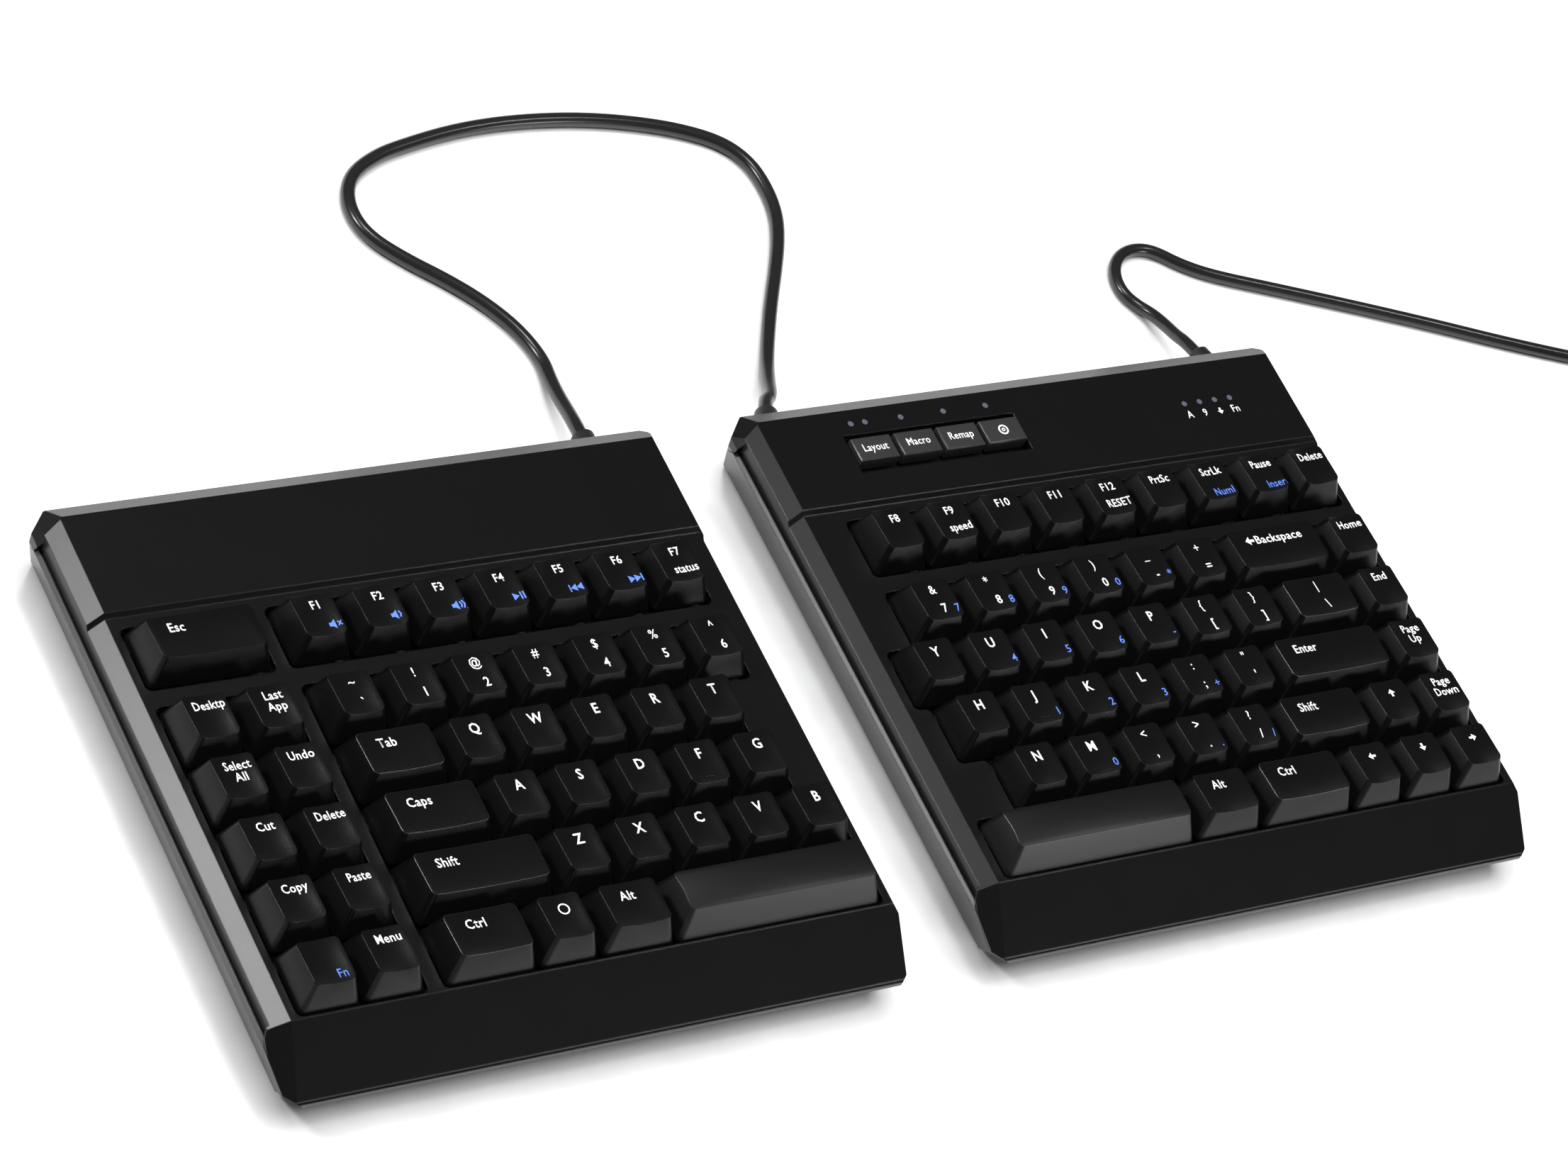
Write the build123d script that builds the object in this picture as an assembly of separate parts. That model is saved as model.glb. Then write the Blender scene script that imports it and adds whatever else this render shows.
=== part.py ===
"""Split keyboard in two halves, each a low case on rubber feet with a tented left edge and a sloping front.

Lengths are in millimetres. Each half has its own frame: X from the left edge of its deck, Y from the front of
the bottom key row, Z from the desk. The whole keyboard then stands with its middle at the origin.
"""
import os
from math import atan2, cos, degrees, pi, radians, sin, sqrt, tan

from build123d import *

# Driving sizes of the layout
key_unit = 19.05
halves_gap = 27.0
overrun = 5.0

# Case profile, shared by both halves
foot_height = 2.0
deck_height = 23.0
deck_lip = 0.55
panel_step = 1.1
ridge_start = 124.5
ridge_run = 1.4
panel_end = 157.2
case_wall = 2.2
seam_gap = 0.3

# Front of the case: a long slope, a short upright nose, and an undercut down to the base
nose_reach = 18.3
nose_top = 11.1
nose_depth = 1.5
front_base = 8.1

# Left side: bevel, recessed wall, ledge and undercut
bevel_reach = 5.4
bevel_drop = 1.5
side_reach = 7.3
shoulder_height = 19.8
ledge_height = 18.1
ledge_edge_height = 17.3
side_base = 0.0
recess_front = 4.6
recess_back = 152.0
recess_end_run = 1.2
joint_reach = 1.5

# Right side and back
right_bevel_reach = 1.25
right_bevel_drop = 1.6
right_side_foot = 9.0
right_base = 1.0
back_reach = 5.0
back_top = 20.5
back_foot = 9.0
back_base = 1.5

# Flats across the corners, each by a point that it passes through and the way that it faces
front_corner_inset = 0.8
upper_front_facing_share = (-0.206, -0.535, 0.819)
lower_front_facing_share = (-0.562, -0.526, -0.638)
upper_back_facing_share = (-0.456, 0.413, 0.789)
lower_back_facing_share = (-0.705, 0.686, -0.178)
back_corner_inset = 0.7
back_corner_side = 1.5
right_corner = 1.5

# Openings in the deck
cutout_margin = 0.5
cutout_radius = 2.0

# Key rows
main_start = 46.2
side_start = 2.7
escape_start = 3.0
right_main_start = 12.8
right_columns = 9
deck_end_margin = 3.0
function_gap = 6.2
function_row = 5

# Keycaps
cap_gap = 0.95
cap_bottom = 22.2
cap_top = 31.0
cap_side_inset = 3.5
cap_front_inset = 3.9
cap_top_depth = 13.0
cap_wall = 1.4
cap_ceiling = 1.8
cap_base_radius = 1.8
cap_top_radius = 1.5
cap_dish = 0.75
wide_cap_dish = 0.45
wide_cap_share = 1.5
inner_radius_share = 1 / 3
cap_tilt = 0.6
space_front_inset = 5.2
space_crown_radius = 30.0

# Switches, from the plate down
plate_top = 15.6
plate_thickness = 1.5
switch_body = 13.9
switch_fit = 0.05
switch_flange = 15.6
switch_flange_height = 1.0
switch_top_width = 11.0
switch_top_depth = 10.6
stem_well_width = 7.4
stem_well_depth = 5.9
stem_well_floor = 12.4
slider_clearance = 0.2
slider_floor_gap = 0.6
key_travel = 4.0
post_height = 3.6
post_width = 4.0
post_thick = 1.25
post_fit = 0.05
socket_radius = 2.75
socket_recess = 0.2

# Circuit board
board_top = 10.6
board_thickness = 1.6
board_inset = 3.0
board_back = 120.6
chip_width = 10.0
chip_height = 1.0

# Stabilisers of the wide keys
short_stabilizer_reach = 11.94
long_stabilizer_reach = 23.8
stabilizer_width = 7.0
stabilizer_depth = 12.4
stabilizer_clearance = 0.4
stabilizer_floor = 12.0
stabilizer_slider_width = 4.0
wire_radius = 0.8
wire_forward = 8.2
wire_height = 12.9
wire_bend = 2.0
wire_bend_share = 3 / 4

# Plate, its columns and the case screws
plate_front = 5.0
plate_back = 126.0
plate_side_inset = 1.5
column_radius = 2.5
column_front = 2.2
column_back = 123.5
column_place_share = (0.16, 0.34, 0.66, 0.84)
boss_radius = 3.25
boss_clearance = 0.4
boss_front = 3.5
boss_back = 142.0
boss_place_share = (0.06, 0.52, 0.95)
pedestal_radius = 4.0
pedestal_top = 6.5
screw_radius = 1.4
screw_fit = 0.05
screw_length = 9.0
screw_head_radius = 2.8
screw_head_height = 2.0
screw_hole_radius = 1.7
screw_recess_radius = 3.0
screw_recess_height = 2.6
drive_radius = 1.3
drive_sides = 6
drive_depth = 1.2

# Feet
foot_radius = 6.0
foot_recess = 0.5
foot_front = 5.0
foot_back = 149.0
foot_place_share = (0.08, 0.92)

# Programming buttons and indicator lights of the right half
button_recess_start = 25.7
button_recess_end = 86.6
button_recess_front = 135.45
button_recess_back = 148.5
button_pitch = 15.25
button_width = 13.8
button_depth = 8.2
button_start = 26.5
button_front = 138.4
button_stand = 1.3
button_height = 4.1
button_travel = 0.5
button_edge = 0.6
button_wall = 1.2
dome_radius = 2.5
dome_height = 1.2
button_board_thickness = 1.6
button_board_margin = 6.0
light_radius = 0.9
light_fit = 0.05
light_flange = 0.5
light_flange_height = 1.0
light_length = 3.3
light_stand = 0.1
button_light_row = 152.4
button_light_start = 30.4
mode_light_offset = 5.0
second_light_shift = 2.55
key_light_row = 143.4
key_light_inset = 39.55
key_light_pitch = 5.75
key_light_count = 4

# Cords: where they leave the back wall, and how far their strain reliefs turn right and down, in degrees
exit_height = 13.5
link_cord_diameter = 4.4
usb_cord_diameter = 4.0
left_exit_inset = 14.05
right_exit = 12.3
usb_exit_inset = 13.75
left_exit_turn = 12
right_exit_turn = 30
usb_exit_turn = 0
exit_dip = 15
relief_wall = 1.3
relief_stand = 1.9
relief_reach = 4.0
relief_fit = 0.1
relief_flange = 1.6
relief_flange_depth = 1.5
relief_chamfer = 0.8
cord_lead = 6.0

# Coil of the cord's unseen length, and the tail from its top layer down to the plug
coil_layers = 4
coil_layer_turns = 2
coil_turns = 7.25
coil_stops_a_turn = 4
coil_climb_turns = 1 / 4
coil_radius = 36.0
coil_gap = 0.6
gap_steps = 3
neighbour_diameters = 3
parallel_limit = 1e-9
tail_clear_run = 26.0
tail_drop_run = 28.0

# Plug at the end of the cord
plug_width = 15.7
plug_height = 8.2
plug_length = 27.0
plug_edge = 1.2
plug_shell_width = 12.0
plug_shell_height = 4.5
plug_shell_length = 12.0
plug_shell_wall = 0.4
plug_tongue_height = 1.8
plug_relief_length = 9.0
plug_relief_radius = 3.2
plug_relief_tip_radius = 2.65
plug_tongue_share = 5 / 6

# Sizes that follow from the ones above
deck_length = right_main_start + right_columns * key_unit + deck_end_margin
panel_height = deck_height + panel_step
button_top = panel_height + button_stand
half_pitch = deck_length + right_bevel_reach + halves_gap + side_reach
middle_x = (half_pitch + deck_length + right_bevel_reach - side_reach) / 2
back_line = panel_end + back_reach
middle_y = (back_line - nose_reach) / 2
right_edge = deck_length + right_bevel_reach
plate_bottom = plate_top - plate_thickness
board_bottom = board_top - board_thickness
slope_run = (nose_reach - deck_lip) / (deck_height - nose_top)
floor_top = foot_height + case_wall
left_exit = deck_length - left_exit_inset
usb_exit = deck_length - usb_exit_inset
key_light_start = deck_length - key_light_inset
slider_bottom = stem_well_floor + key_travel + slider_floor_gap
stabilizer_top = cap_bottom + socket_recess - key_travel - stabilizer_clearance
pitch_in_coil = usb_cord_diameter + coil_gap

left_place = Location((-middle_x, -middle_y, 0))
right_place = Location((half_pitch - middle_x, -middle_y, 0))

# Rows of keys: the row from the front, the start of its first key and its keys' widths, in key units
left_key_share = {
    "left_keys_function_row": ((function_row, 0, (1,) * 7),),
    "left_keys_number_row": ((4, 0, (1,) * 7),),
    "left_key_tab": ((3, 0, (1.5,)),),
    "left_keys_top_letters": ((3, 1.5, (1,) * 5),),
    "left_key_caps_lock": ((2, 0, (1.75,)),),
    "left_keys_home_letters": ((2, 1.75, (1,) * 5),),
    "left_key_shift": ((1, 0, (2.25,)),),
    "left_keys_bottom_letters": ((1, 2.25, (1,) * 5),),
    "left_key_control": ((0, 0, (1.5,)),),
    "left_key_system": ((0, 1.5, (1,)),),
    "left_key_alt": ((0, 2.5, (1.25,)),),
    "left_key_space": ((0, 3.75, (3.5,)),),
}
side_key_share = {"left_keys_side_columns": tuple((row, 0, (1, 1)) for row in range(function_row))}
escape_key_share = {"left_key_escape": ((function_row, 0, (2,)),)}
right_key_share = {
    "right_keys_function_row": ((function_row, 0, (1,) * 9),),
    "right_keys_number_row": ((4, 0, (1,) * 6),),
    "right_key_backspace": ((4, 6, (2,)),),
    "right_keys_navigation_column": tuple((row, 8, (1,)) for row in range(1, function_row)),
    "right_keys_top_letters": ((3, -0.5, (1,) * 7),),
    "right_key_backslash": ((3, 6.5, (1.5,)),),
    "right_keys_home_letters": ((2, -0.25, (1,) * 6),),
    "right_key_enter": ((2, 5.75, (2.25,)),),
    "right_keys_bottom_letters": ((1, 0.25, (1,) * 5),),
    "right_key_shift": ((1, 5.25, (1.75,)),),
    "right_key_up": ((1, 7, (1,)),),
    "right_key_space": ((0, -0.5, (3.5,)),),
    "right_key_alt": ((0, 3, (1.25,)),),
    "right_key_control": ((0, 4.25, (1.75,)),),
    "right_key_left": ((0, 6, (1,)),),
    "right_key_down": ((0, 7, (1,)),),
    "right_key_right": ((0, 8, (1,)),),
}
left_blocks = ((main_start, left_key_share), (side_start, side_key_share), (escape_start, escape_key_share))
right_blocks = ((right_main_start, right_key_share),)
spacebars = ("left_key_space", "right_key_space")
stabilized_share = 2
long_stabilizer_share = 3
button_names = ("layout_button", "macro_button", "remap_button", "program_button")


def row_front(row):
    """Front of a key row: the function row stands apart from the others."""
    return row * key_unit + (function_gap if row == function_row else 0)


def cells_of(start, rows):
    """Left edge, front edge and width of each key cell of one bank."""
    cells = []
    for row, first, widths in rows:
        across = start + first * key_unit
        for width in widths:
            cells.append((across, row_front(row), width * key_unit))
            across += width * key_unit
    return cells


def all_cells(blocks):
    """Every key cell of one half."""
    return [cell for start, banks in blocks for rows in banks.values() for cell in cells_of(start, rows)]


def box_between(x_span, y_span, z_span):
    """Box given by its two ends along each axis."""
    size = [high - low for low, high in (x_span, y_span, z_span)]
    middle = [(high + low) / 2 for low, high in (x_span, y_span, z_span)]
    return Location(tuple(middle)) * Box(*size)


def upright(x, y, radius, z_span):
    """Upright round pin."""
    return Location((x, y, (z_span[0] + z_span[1]) / 2)) * Cylinder(radius, z_span[1] - z_span[0])


def grown_outline(points, growth):
    """Closed outline with sharp corners, grown by an amount."""
    outline = make_face(Polyline(*points, close=True))
    return offset(outline, growth, kind=Kind.INTERSECTION) if growth else outline


def prism_across(points, growth, y_span):
    """Outline in X and Z, grown by an amount and drawn out along Y."""
    face = Plane.XZ * grown_outline(points, growth)
    return Location((0, y_span[1], 0)) * extrude(face, y_span[1] - y_span[0])


def prism_along(points, growth, x_span):
    """Outline in Y and Z, grown by an amount and drawn out along X."""
    face = Plane.YZ * grown_outline(points, growth)
    return Location((x_span[0], 0, 0)) * extrude(face, x_span[1] - x_span[0])


def corner_flats():
    """Flats across the corners of a case: a point on each and the way it faces."""
    deck_corner = (0, -deck_lip, deck_height)
    nose_corner = (-front_corner_inset, -nose_reach, nose_top)
    back_corner = (back_corner_inset, panel_end, panel_height)
    back_low_corner = (-back_corner_side, back_line, back_top)
    return (
        (deck_corner, upper_front_facing_share),
        (nose_corner, lower_front_facing_share),
        (back_corner, upper_back_facing_share),
        (back_low_corner, lower_back_facing_share),
        ((right_edge - right_corner, -nose_reach, nose_top), (1, -1, 0)),
        ((right_edge - right_corner, back_line, back_top), (1, 1, 0)),
    )


def deck_line(drop):
    """Upper outline of a case from left to right, lowered by an amount, run out past both sides."""
    left_slope = bevel_drop / bevel_reach
    right_slope = right_bevel_drop / right_bevel_reach
    return (
        (-side_reach - overrun, panel_height - drop - left_slope * (side_reach + overrun)),
        (0, panel_height - drop),
        (deck_length, panel_height - drop),
        (right_edge + overrun, panel_height - drop - right_slope * (right_bevel_reach + overrun)),
    )


def case_body(inset):
    """Solid outer shape of one half, or the same shape drawn in by an amount."""
    across = (
        (0, panel_height),
        (deck_length, panel_height),
        (right_edge, panel_height - right_bevel_drop),
        (right_edge, right_side_foot),
        (right_edge - right_base, foot_height),
        (side_base, foot_height),
        (-side_reach, ledge_edge_height),
        (-side_reach, shoulder_height),
        (-bevel_reach, panel_height - bevel_drop),
    )
    along = (
        (-deck_lip + slope_run * panel_step, panel_height),
        (-nose_reach, nose_top),
        (-nose_reach, nose_top - nose_depth),
        (-front_base, foot_height),
        (back_line - back_base, foot_height),
        (back_line, back_foot),
        (back_line, back_top),
        (panel_end, panel_height),
    )
    x_span = (-side_reach - overrun, right_edge + overrun)
    y_span = (-nose_reach - overrun, back_line + overrun)
    body = prism_across(across, -inset, y_span) & prism_along(along, -inset, x_span)
    for point, facing in corner_flats():
        flat = Plane(origin=point, z_dir=facing).offset(-inset)
        body = split(body, bisect_by=flat, keep=Keep.BOTTOM)
    step_outline = deck_line(panel_step) + (
        (right_edge + overrun, panel_height + overrun),
        (-side_reach - overrun, panel_height + overrun),
    )
    ridge_outline = (
        (-nose_reach - overrun, 0),
        (ridge_start - ridge_run * deck_height / panel_step, 0),
        (ridge_start + ridge_run * (1 + overrun / panel_step), panel_height + overrun),
        (-nose_reach - overrun, panel_height + overrun),
    )
    body -= prism_across(step_outline, inset, y_span) & prism_along(ridge_outline, inset, x_span)
    ledge_slope = (ledge_height - ledge_edge_height) / (side_reach - bevel_reach)
    recess_outline = (
        (-bevel_reach, panel_height + overrun),
        (-bevel_reach, ledge_height),
        (-side_reach - overrun, ledge_height - ledge_slope * (side_reach - bevel_reach + overrun)),
        (-side_reach - overrun, panel_height + overrun),
    )
    recess_rise = panel_height - ledge_height + overrun
    recess_side = (
        (-recess_front, 0),
        (-recess_front, ledge_height),
        (-recess_front + slope_run * recess_rise, ledge_height + recess_rise),
        (recess_back - recess_end_run, ledge_height + recess_rise),
        (recess_back, ledge_height),
        (recess_back, 0),
    )
    return body - (prism_across(recess_outline, inset, y_span) & prism_along(recess_side, inset, x_span))


def lower_zone(growth):
    """Room of the bottom case: all below the seam, and on the left up to the ledge."""
    x_span = (-side_reach - overrun, right_edge + overrun)
    y_span = (-nose_reach - overrun, back_line + overrun)
    low = box_between(x_span, y_span, (0, nose_top + growth))
    rise = ledge_height - seam_gap - nose_top
    side = (
        (-nose_reach + recess_front, nose_top - seam_gap),
        (-recess_front, nose_top + rise),
        (recess_back, nose_top + rise),
        (recess_back + rise, nose_top - seam_gap),
    )
    return low + prism_along(side, growth, (-side_reach - overrun, -joint_reach + growth))


def row_rectangles(cells, margin):
    """Union of the key cells, each drawn out by a margin, with the corners left square."""
    shape = Sketch()
    for across, front, width in cells:
        low_y = front - (margin if front > 0 else 0)
        high_y = front + key_unit + margin
        centre = (across + width / 2, (low_y + high_y) / 2)
        shape += Location(centre) * Rectangle(width + 2 * margin, high_y - low_y)
    return shape


def deck_openings(blocks):
    """Openings in the deck round the key fields, with rounded corners."""
    shape = row_rectangles(all_cells(blocks), cutout_margin)
    shape = fillet(shape.vertices(), cutout_radius)
    return extrude(Plane.XY.offset(floor_top) * shape, panel_height + overrun - floor_top)


def boss_places():
    """Places of the case screws."""
    return [(share * deck_length, y) for share in boss_place_share for y in (-boss_front, boss_back)]


def column_places():
    """Places of the columns under the plate."""
    return [(share * deck_length, y) for share in column_place_share for y in (-column_front, column_back)]


def foot_places():
    """Places of the rubber feet."""
    return [(share * deck_length, y) for share in foot_place_share for y in (foot_front, foot_back)]


def relief_hole(x):
    """Hole for a strain relief through the back wall."""
    radius = link_cord_diameter / 2 + relief_wall + relief_fit
    return along_y(x, radius, (back_line - case_wall - overrun, back_line + overrun))


def along_y(x, radius, y_span):
    """Round bar along Y at the height of the cord exits."""
    place = Location((x, (y_span[0] + y_span[1]) / 2, exit_height), (90, 0, 0))
    return place * Cylinder(radius, y_span[1] - y_span[0])


def top_case(shell, blocks, exits):
    """Deck, panel and upper walls, with the screw bosses under them."""
    case = shell - lower_zone(seam_gap) - deck_openings(blocks)
    room = case_body(case_wall / 2)
    for x, y in boss_places():
        case += upright(x, y, boss_radius, (pedestal_top, panel_height)) & room
        reach = pedestal_top + screw_length
        case -= upright(x, y, screw_radius + screw_fit, (0, reach + screw_fit - screw_head_height))
    for x in exits:
        case -= relief_hole(x)
    return case


def bottom_case(shell, exits):
    """Base tray with the screw pedestals, the plate's columns and the recesses for the feet."""
    case = shell & lower_zone(0)
    room = case_body(0)
    for x, y in boss_places():
        case += upright(x, y, pedestal_radius, (foot_height, pedestal_top)) & room
    for x, y in column_places():
        case += upright(x, y, column_radius, (foot_height, plate_bottom)) & room
    for x, y in boss_places():
        case -= upright(x, y, screw_hole_radius, (0, pedestal_top + overrun))
        case -= upright(x, y, screw_recess_radius, (0, foot_height + screw_recess_height))
    for x, y in foot_places():
        case -= upright(x, y, foot_radius, (0, foot_height + foot_recess))
    for x in exits:
        case -= relief_hole(x)
    return case


def case_screws():
    """Screws from below, their heads under the pedestals, each with a six-sided drive."""
    head_top = foot_height + screw_recess_height
    head_bottom = head_top - screw_head_height
    screws = []
    for x, y in boss_places():
        screw = upright(x, y, screw_head_radius, (head_bottom, head_top))
        screw += upright(x, y, screw_radius, (head_top, head_bottom + screw_length))
        drive = Plane.XY.offset(head_bottom) * Location((x, y)) * RegularPolygon(drive_radius, drive_sides)
        screws.append(screw - extrude(drive, drive_depth))
    return screws


def rubber_feet():
    """Four round feet set into the base."""
    return [upright(x, y, foot_radius, (0, foot_height + foot_recess)) for x, y in foot_places()]


def cell_centre(cell):
    """Middle of a key cell."""
    across, front, width = cell
    return across + width / 2, front + key_unit / 2


def stabilizer_reach(cell):
    """Distance of a wide key's stabilisers from its middle, or none."""
    width = cell[2] / key_unit
    if width < stabilized_share:
        return 0
    return long_stabilizer_reach if width > long_stabilizer_share else short_stabilizer_reach


def stabilizer_places(cell):
    """Middles of the two stabilisers of a wide key."""
    x, y = cell_centre(cell)
    reach = stabilizer_reach(cell)
    return [(x - reach, y), (x + reach, y)] if reach else []


def switch_plate(blocks):
    """Plate with a square opening for each switch and one for each stabiliser."""
    span = (plate_side_inset, deck_length - plate_side_inset)
    plate = box_between(span, (-plate_front, plate_back), (plate_bottom, plate_top))
    hole = switch_body + 2 * switch_fit
    z_span = (plate_bottom - overrun, plate_top + overrun)
    cutters = []
    for cell in all_cells(blocks):
        x, y = cell_centre(cell)
        cutters.append(centred_box(x, y, hole, hole, z_span))
        for sx, sy in stabilizer_places(cell):
            width = stabilizer_width + 2 * switch_fit
            depth = stabilizer_depth + 2 * switch_fit
            cutters.append(centred_box(sx, sy, width, depth, z_span))
    for x, y in boss_places():
        cutters.append(upright(x, y, boss_radius + boss_clearance, z_span))
    return plate - cutters


def centred_box(x, y, width, depth, z_span):
    """Box round an upright line."""
    return box_between((x - width / 2, x + width / 2), (y - depth / 2, y + depth / 2), z_span)


def circuit_board():
    """Main board with its controller and memory chips on the underside."""
    span = (board_inset, deck_length - board_inset)
    board = box_between(span, (board_inset, board_back), (board_bottom, board_top))
    x = deck_length / 2
    y = board_back - chip_width
    chip_span = (board_bottom - chip_height, board_bottom)
    chips = [
        centred_box(x, y, chip_width, chip_width, chip_span),
        centred_box(x + 2 * chip_width, y, chip_width, chip_width / 2, chip_span),
    ]
    return [board] + chips


def switch_housing():
    """Housing of one switch: body below the plate, flange on it, and a tapered top with the slider's well."""
    flange_top = plate_top + switch_flange_height
    housing = centred_box(0, 0, switch_body, switch_body, (board_top, plate_top))
    housing += centred_box(0, 0, switch_flange, switch_flange, (plate_top, flange_top))
    lower = Plane.XY.offset(flange_top) * Rectangle(switch_body, switch_body)
    upper = Plane.XY.offset(cap_bottom) * Rectangle(switch_top_width, switch_top_depth)
    housing += loft([lower, upper], ruled=True)
    well = (stem_well_floor, cap_bottom + overrun)
    return housing - centred_box(0, 0, stem_well_width, stem_well_depth, well)


def stabilizer_housing():
    """Housing of one stabiliser, open at the top for its slider."""
    body = centred_box(0, 0, stabilizer_width, stabilizer_depth, (stabilizer_floor, stabilizer_top))
    width = stabilizer_slider_width + 2 * slider_clearance
    well = (stem_well_floor, stabilizer_top + overrun)
    return body - centred_box(0, 0, width, stem_well_depth, well)


def stabilizer_wire(cell):
    """Bent wire that joins the two stabilisers of a wide key."""
    x, y = cell_centre(cell)
    reach = stabilizer_reach(cell)
    face = y - stabilizer_depth / 2
    corners = [
        (x - reach, face, wire_height),
        (x - reach, y - wire_forward, wire_height),
        (x + reach, y - wire_forward, wire_height),
        (x + reach, face, wire_height),
    ]
    bend = min(wire_bend, wire_bend_share * (wire_forward - stabilizer_depth / 2))
    path = FilletPolyline(*corners, radius=bend)
    return sweep(Plane(path @ 0, z_dir=path % 0) * Circle(wire_radius), path=path)


def copies(solid, places):
    """The same solid at several places."""
    return [solid.moved(Location((x, y, 0))) for x, y in places]


def stabilizers(blocks):
    """Every stabiliser housing and wire of one half."""
    wide = [cell for cell in all_cells(blocks) if stabilizer_reach(cell)]
    places = [place for cell in wide for place in stabilizer_places(cell)]
    return copies(stabilizer_housing(), places) + [stabilizer_wire(cell) for cell in wide]


def cap_section(share, inset, width, front_inset):
    """Rounded outline of a keycap at a share of its height, drawn in by an amount."""
    low = cap_gap / 2
    left = low + share * (cap_side_inset - low) + inset
    right = width - left
    front = low + share * (front_inset - low) + inset
    top_back = cap_front_inset + cap_top_depth
    back = key_unit - low + share * (top_back - key_unit + low) - inset
    outer_radius = cap_base_radius + share * (cap_top_radius - cap_base_radius)
    radius = max(outer_radius - inset, inner_radius_share * cap_top_radius)
    height = cap_bottom + share * (cap_top - cap_bottom)
    outline = RectangleRounded(right - left, back - front, radius)
    return Plane.XY.offset(height) * Location(((left + right) / 2, (front + back) / 2)) * outline


def keycap(width, is_space):
    """Hollow keycap with a dished top, or a crowned one on a spacebar, and the sockets for its posts."""
    front_inset = space_front_inset if is_space else cap_front_inset
    top_share = 1 + cap_dish / (cap_top - cap_bottom)
    outer = [cap_section(share, 0, width, front_inset) for share in (0, top_share)]
    cap = loft(outer, ruled=True)
    middle = cap_front_inset + cap_top_depth / 2
    tilt = degrees(atan2(cap_tilt, cap_top_depth))
    if is_space:
        place = Location((width / 2, middle, cap_top - space_crown_radius), (0, 90, 0))
        cap = cap & place * Cylinder(space_crown_radius, width + overrun)
    else:
        half_top = width / 2 - cap_side_inset
        depth = cap_dish if width < wide_cap_share * key_unit else wide_cap_dish
        radius = half_top**2 / (2 * depth) + depth / 2
        place = Location((width / 2, middle, cap_top - cap_tilt / 2 - depth), (-tilt, 0, 0))
        dish = place * Location((0, 0, radius), (90, 0, 0)) * Cylinder(radius, key_unit + 2 * overrun)
        cap = cap - dish
    inner_share = (cap_top - cap_ceiling - cap_bottom) / (cap_top - cap_bottom)
    low_share = -overrun / (cap_top - cap_bottom)
    hollow = [cap_section(share, cap_wall, width, front_inset) for share in (low_share, inner_share)]
    cap -= loft(hollow, ruled=True)
    ceiling = cap_top - cap_ceiling
    for x, y in post_places(width):
        cap += upright(x, y, socket_radius, (cap_bottom + socket_recess, ceiling + socket_recess))
        cap -= cross_post(x, y, post_fit, (cap_bottom, cap_bottom + post_height + post_fit))
    return cap


def post_places(width):
    """Middles of the switch and stabiliser posts under one keycap, from the corner of its cell."""
    cell = (0, 0, width)
    return [cell_centre(cell)] + stabilizer_places(cell)


def cross_post(x, y, growth, z_span):
    """Cross-shaped post, grown by an amount."""
    long = post_width + 2 * growth
    thin = post_thick + 2 * growth
    return centred_box(x, y, long, thin, z_span) + centred_box(x, y, thin, long, z_span)


def slider(x, y, width):
    """Sliding stem with its cross-shaped post."""
    depth = stem_well_depth - 2 * slider_clearance
    block = centred_box(x, y, width, depth, (slider_bottom, cap_bottom))
    return block + cross_post(x, y, 0, (cap_bottom, cap_bottom + post_height))


def key_solids(width, is_space):
    """Keycap, switch slider and stabiliser sliders of one key, from the corner of its cell."""
    (x, y), *others = post_places(width)
    solids = [keycap(width, is_space), slider(x, y, stem_well_width - 2 * slider_clearance)]
    return solids + [slider(sx, sy, stabilizer_slider_width) for sx, sy in others]


def key_banks(blocks, place):
    """Every bank of keys of one half, by node name."""
    models = {}
    banks = {}
    for start, block in blocks:
        for name, rows in block.items():
            solids = []
            for across, front, width in cells_of(start, rows):
                kind = (round(width, 3), name in spacebars)
                if kind not in models:
                    models[kind] = key_solids(width, name in spacebars)
                solids += [solid.moved(Location((across, front, 0))) for solid in models[kind]]
            banks[name] = placed(solids, place)
    return banks


def placed(solids, place):
    """Solids of one node, gathered and set in the keyboard's frame."""
    parts = [piece for solid in solids for piece in solid.solids()]
    return Compound(children=[place * piece for piece in parts])


def exit_direction(turn):
    """Way that a cord leaves its strain relief."""
    across = radians(turn)
    down = radians(exit_dip)
    return Vector(sin(across) * cos(down), cos(across) * cos(down), -sin(down))


def exit_bend(x):
    """Point just outside the back wall where a strain relief bends."""
    return Vector(x, back_line + relief_stand, exit_height)


def relief_tip(place, x, turn):
    """End of a strain relief, where its cord comes out, in the keyboard's frame."""
    return exit_bend(x) + place.position + exit_direction(turn) * relief_reach


def strain_relief(x, turn):
    """Sleeve that holds a cord in the back wall, with a flange inside and a bent end outside."""
    radius = link_cord_diameter / 2 + relief_wall
    inner_face = back_line - case_wall - relief_fit
    sleeve = Plane(origin=exit_bend(x), z_dir=exit_direction(turn)) * extrude(Circle(radius), relief_reach)
    tip_face = sleeve.faces().sort_by(lambda face: face.center().Y)[-1]
    sleeve = chamfer(tip_face.edges(), relief_chamfer)
    sleeve += Location(exit_bend(x)) * Sphere(radius)
    sleeve += along_y(x, radius, (inner_face, back_line + relief_stand))
    return sleeve + along_y(x, radius + relief_flange, (inner_face - relief_flange_depth, inner_face))


def button_places():
    """Left edges of the programming buttons."""
    return [button_start + i * button_pitch for i in range(len(button_names))]


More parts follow.
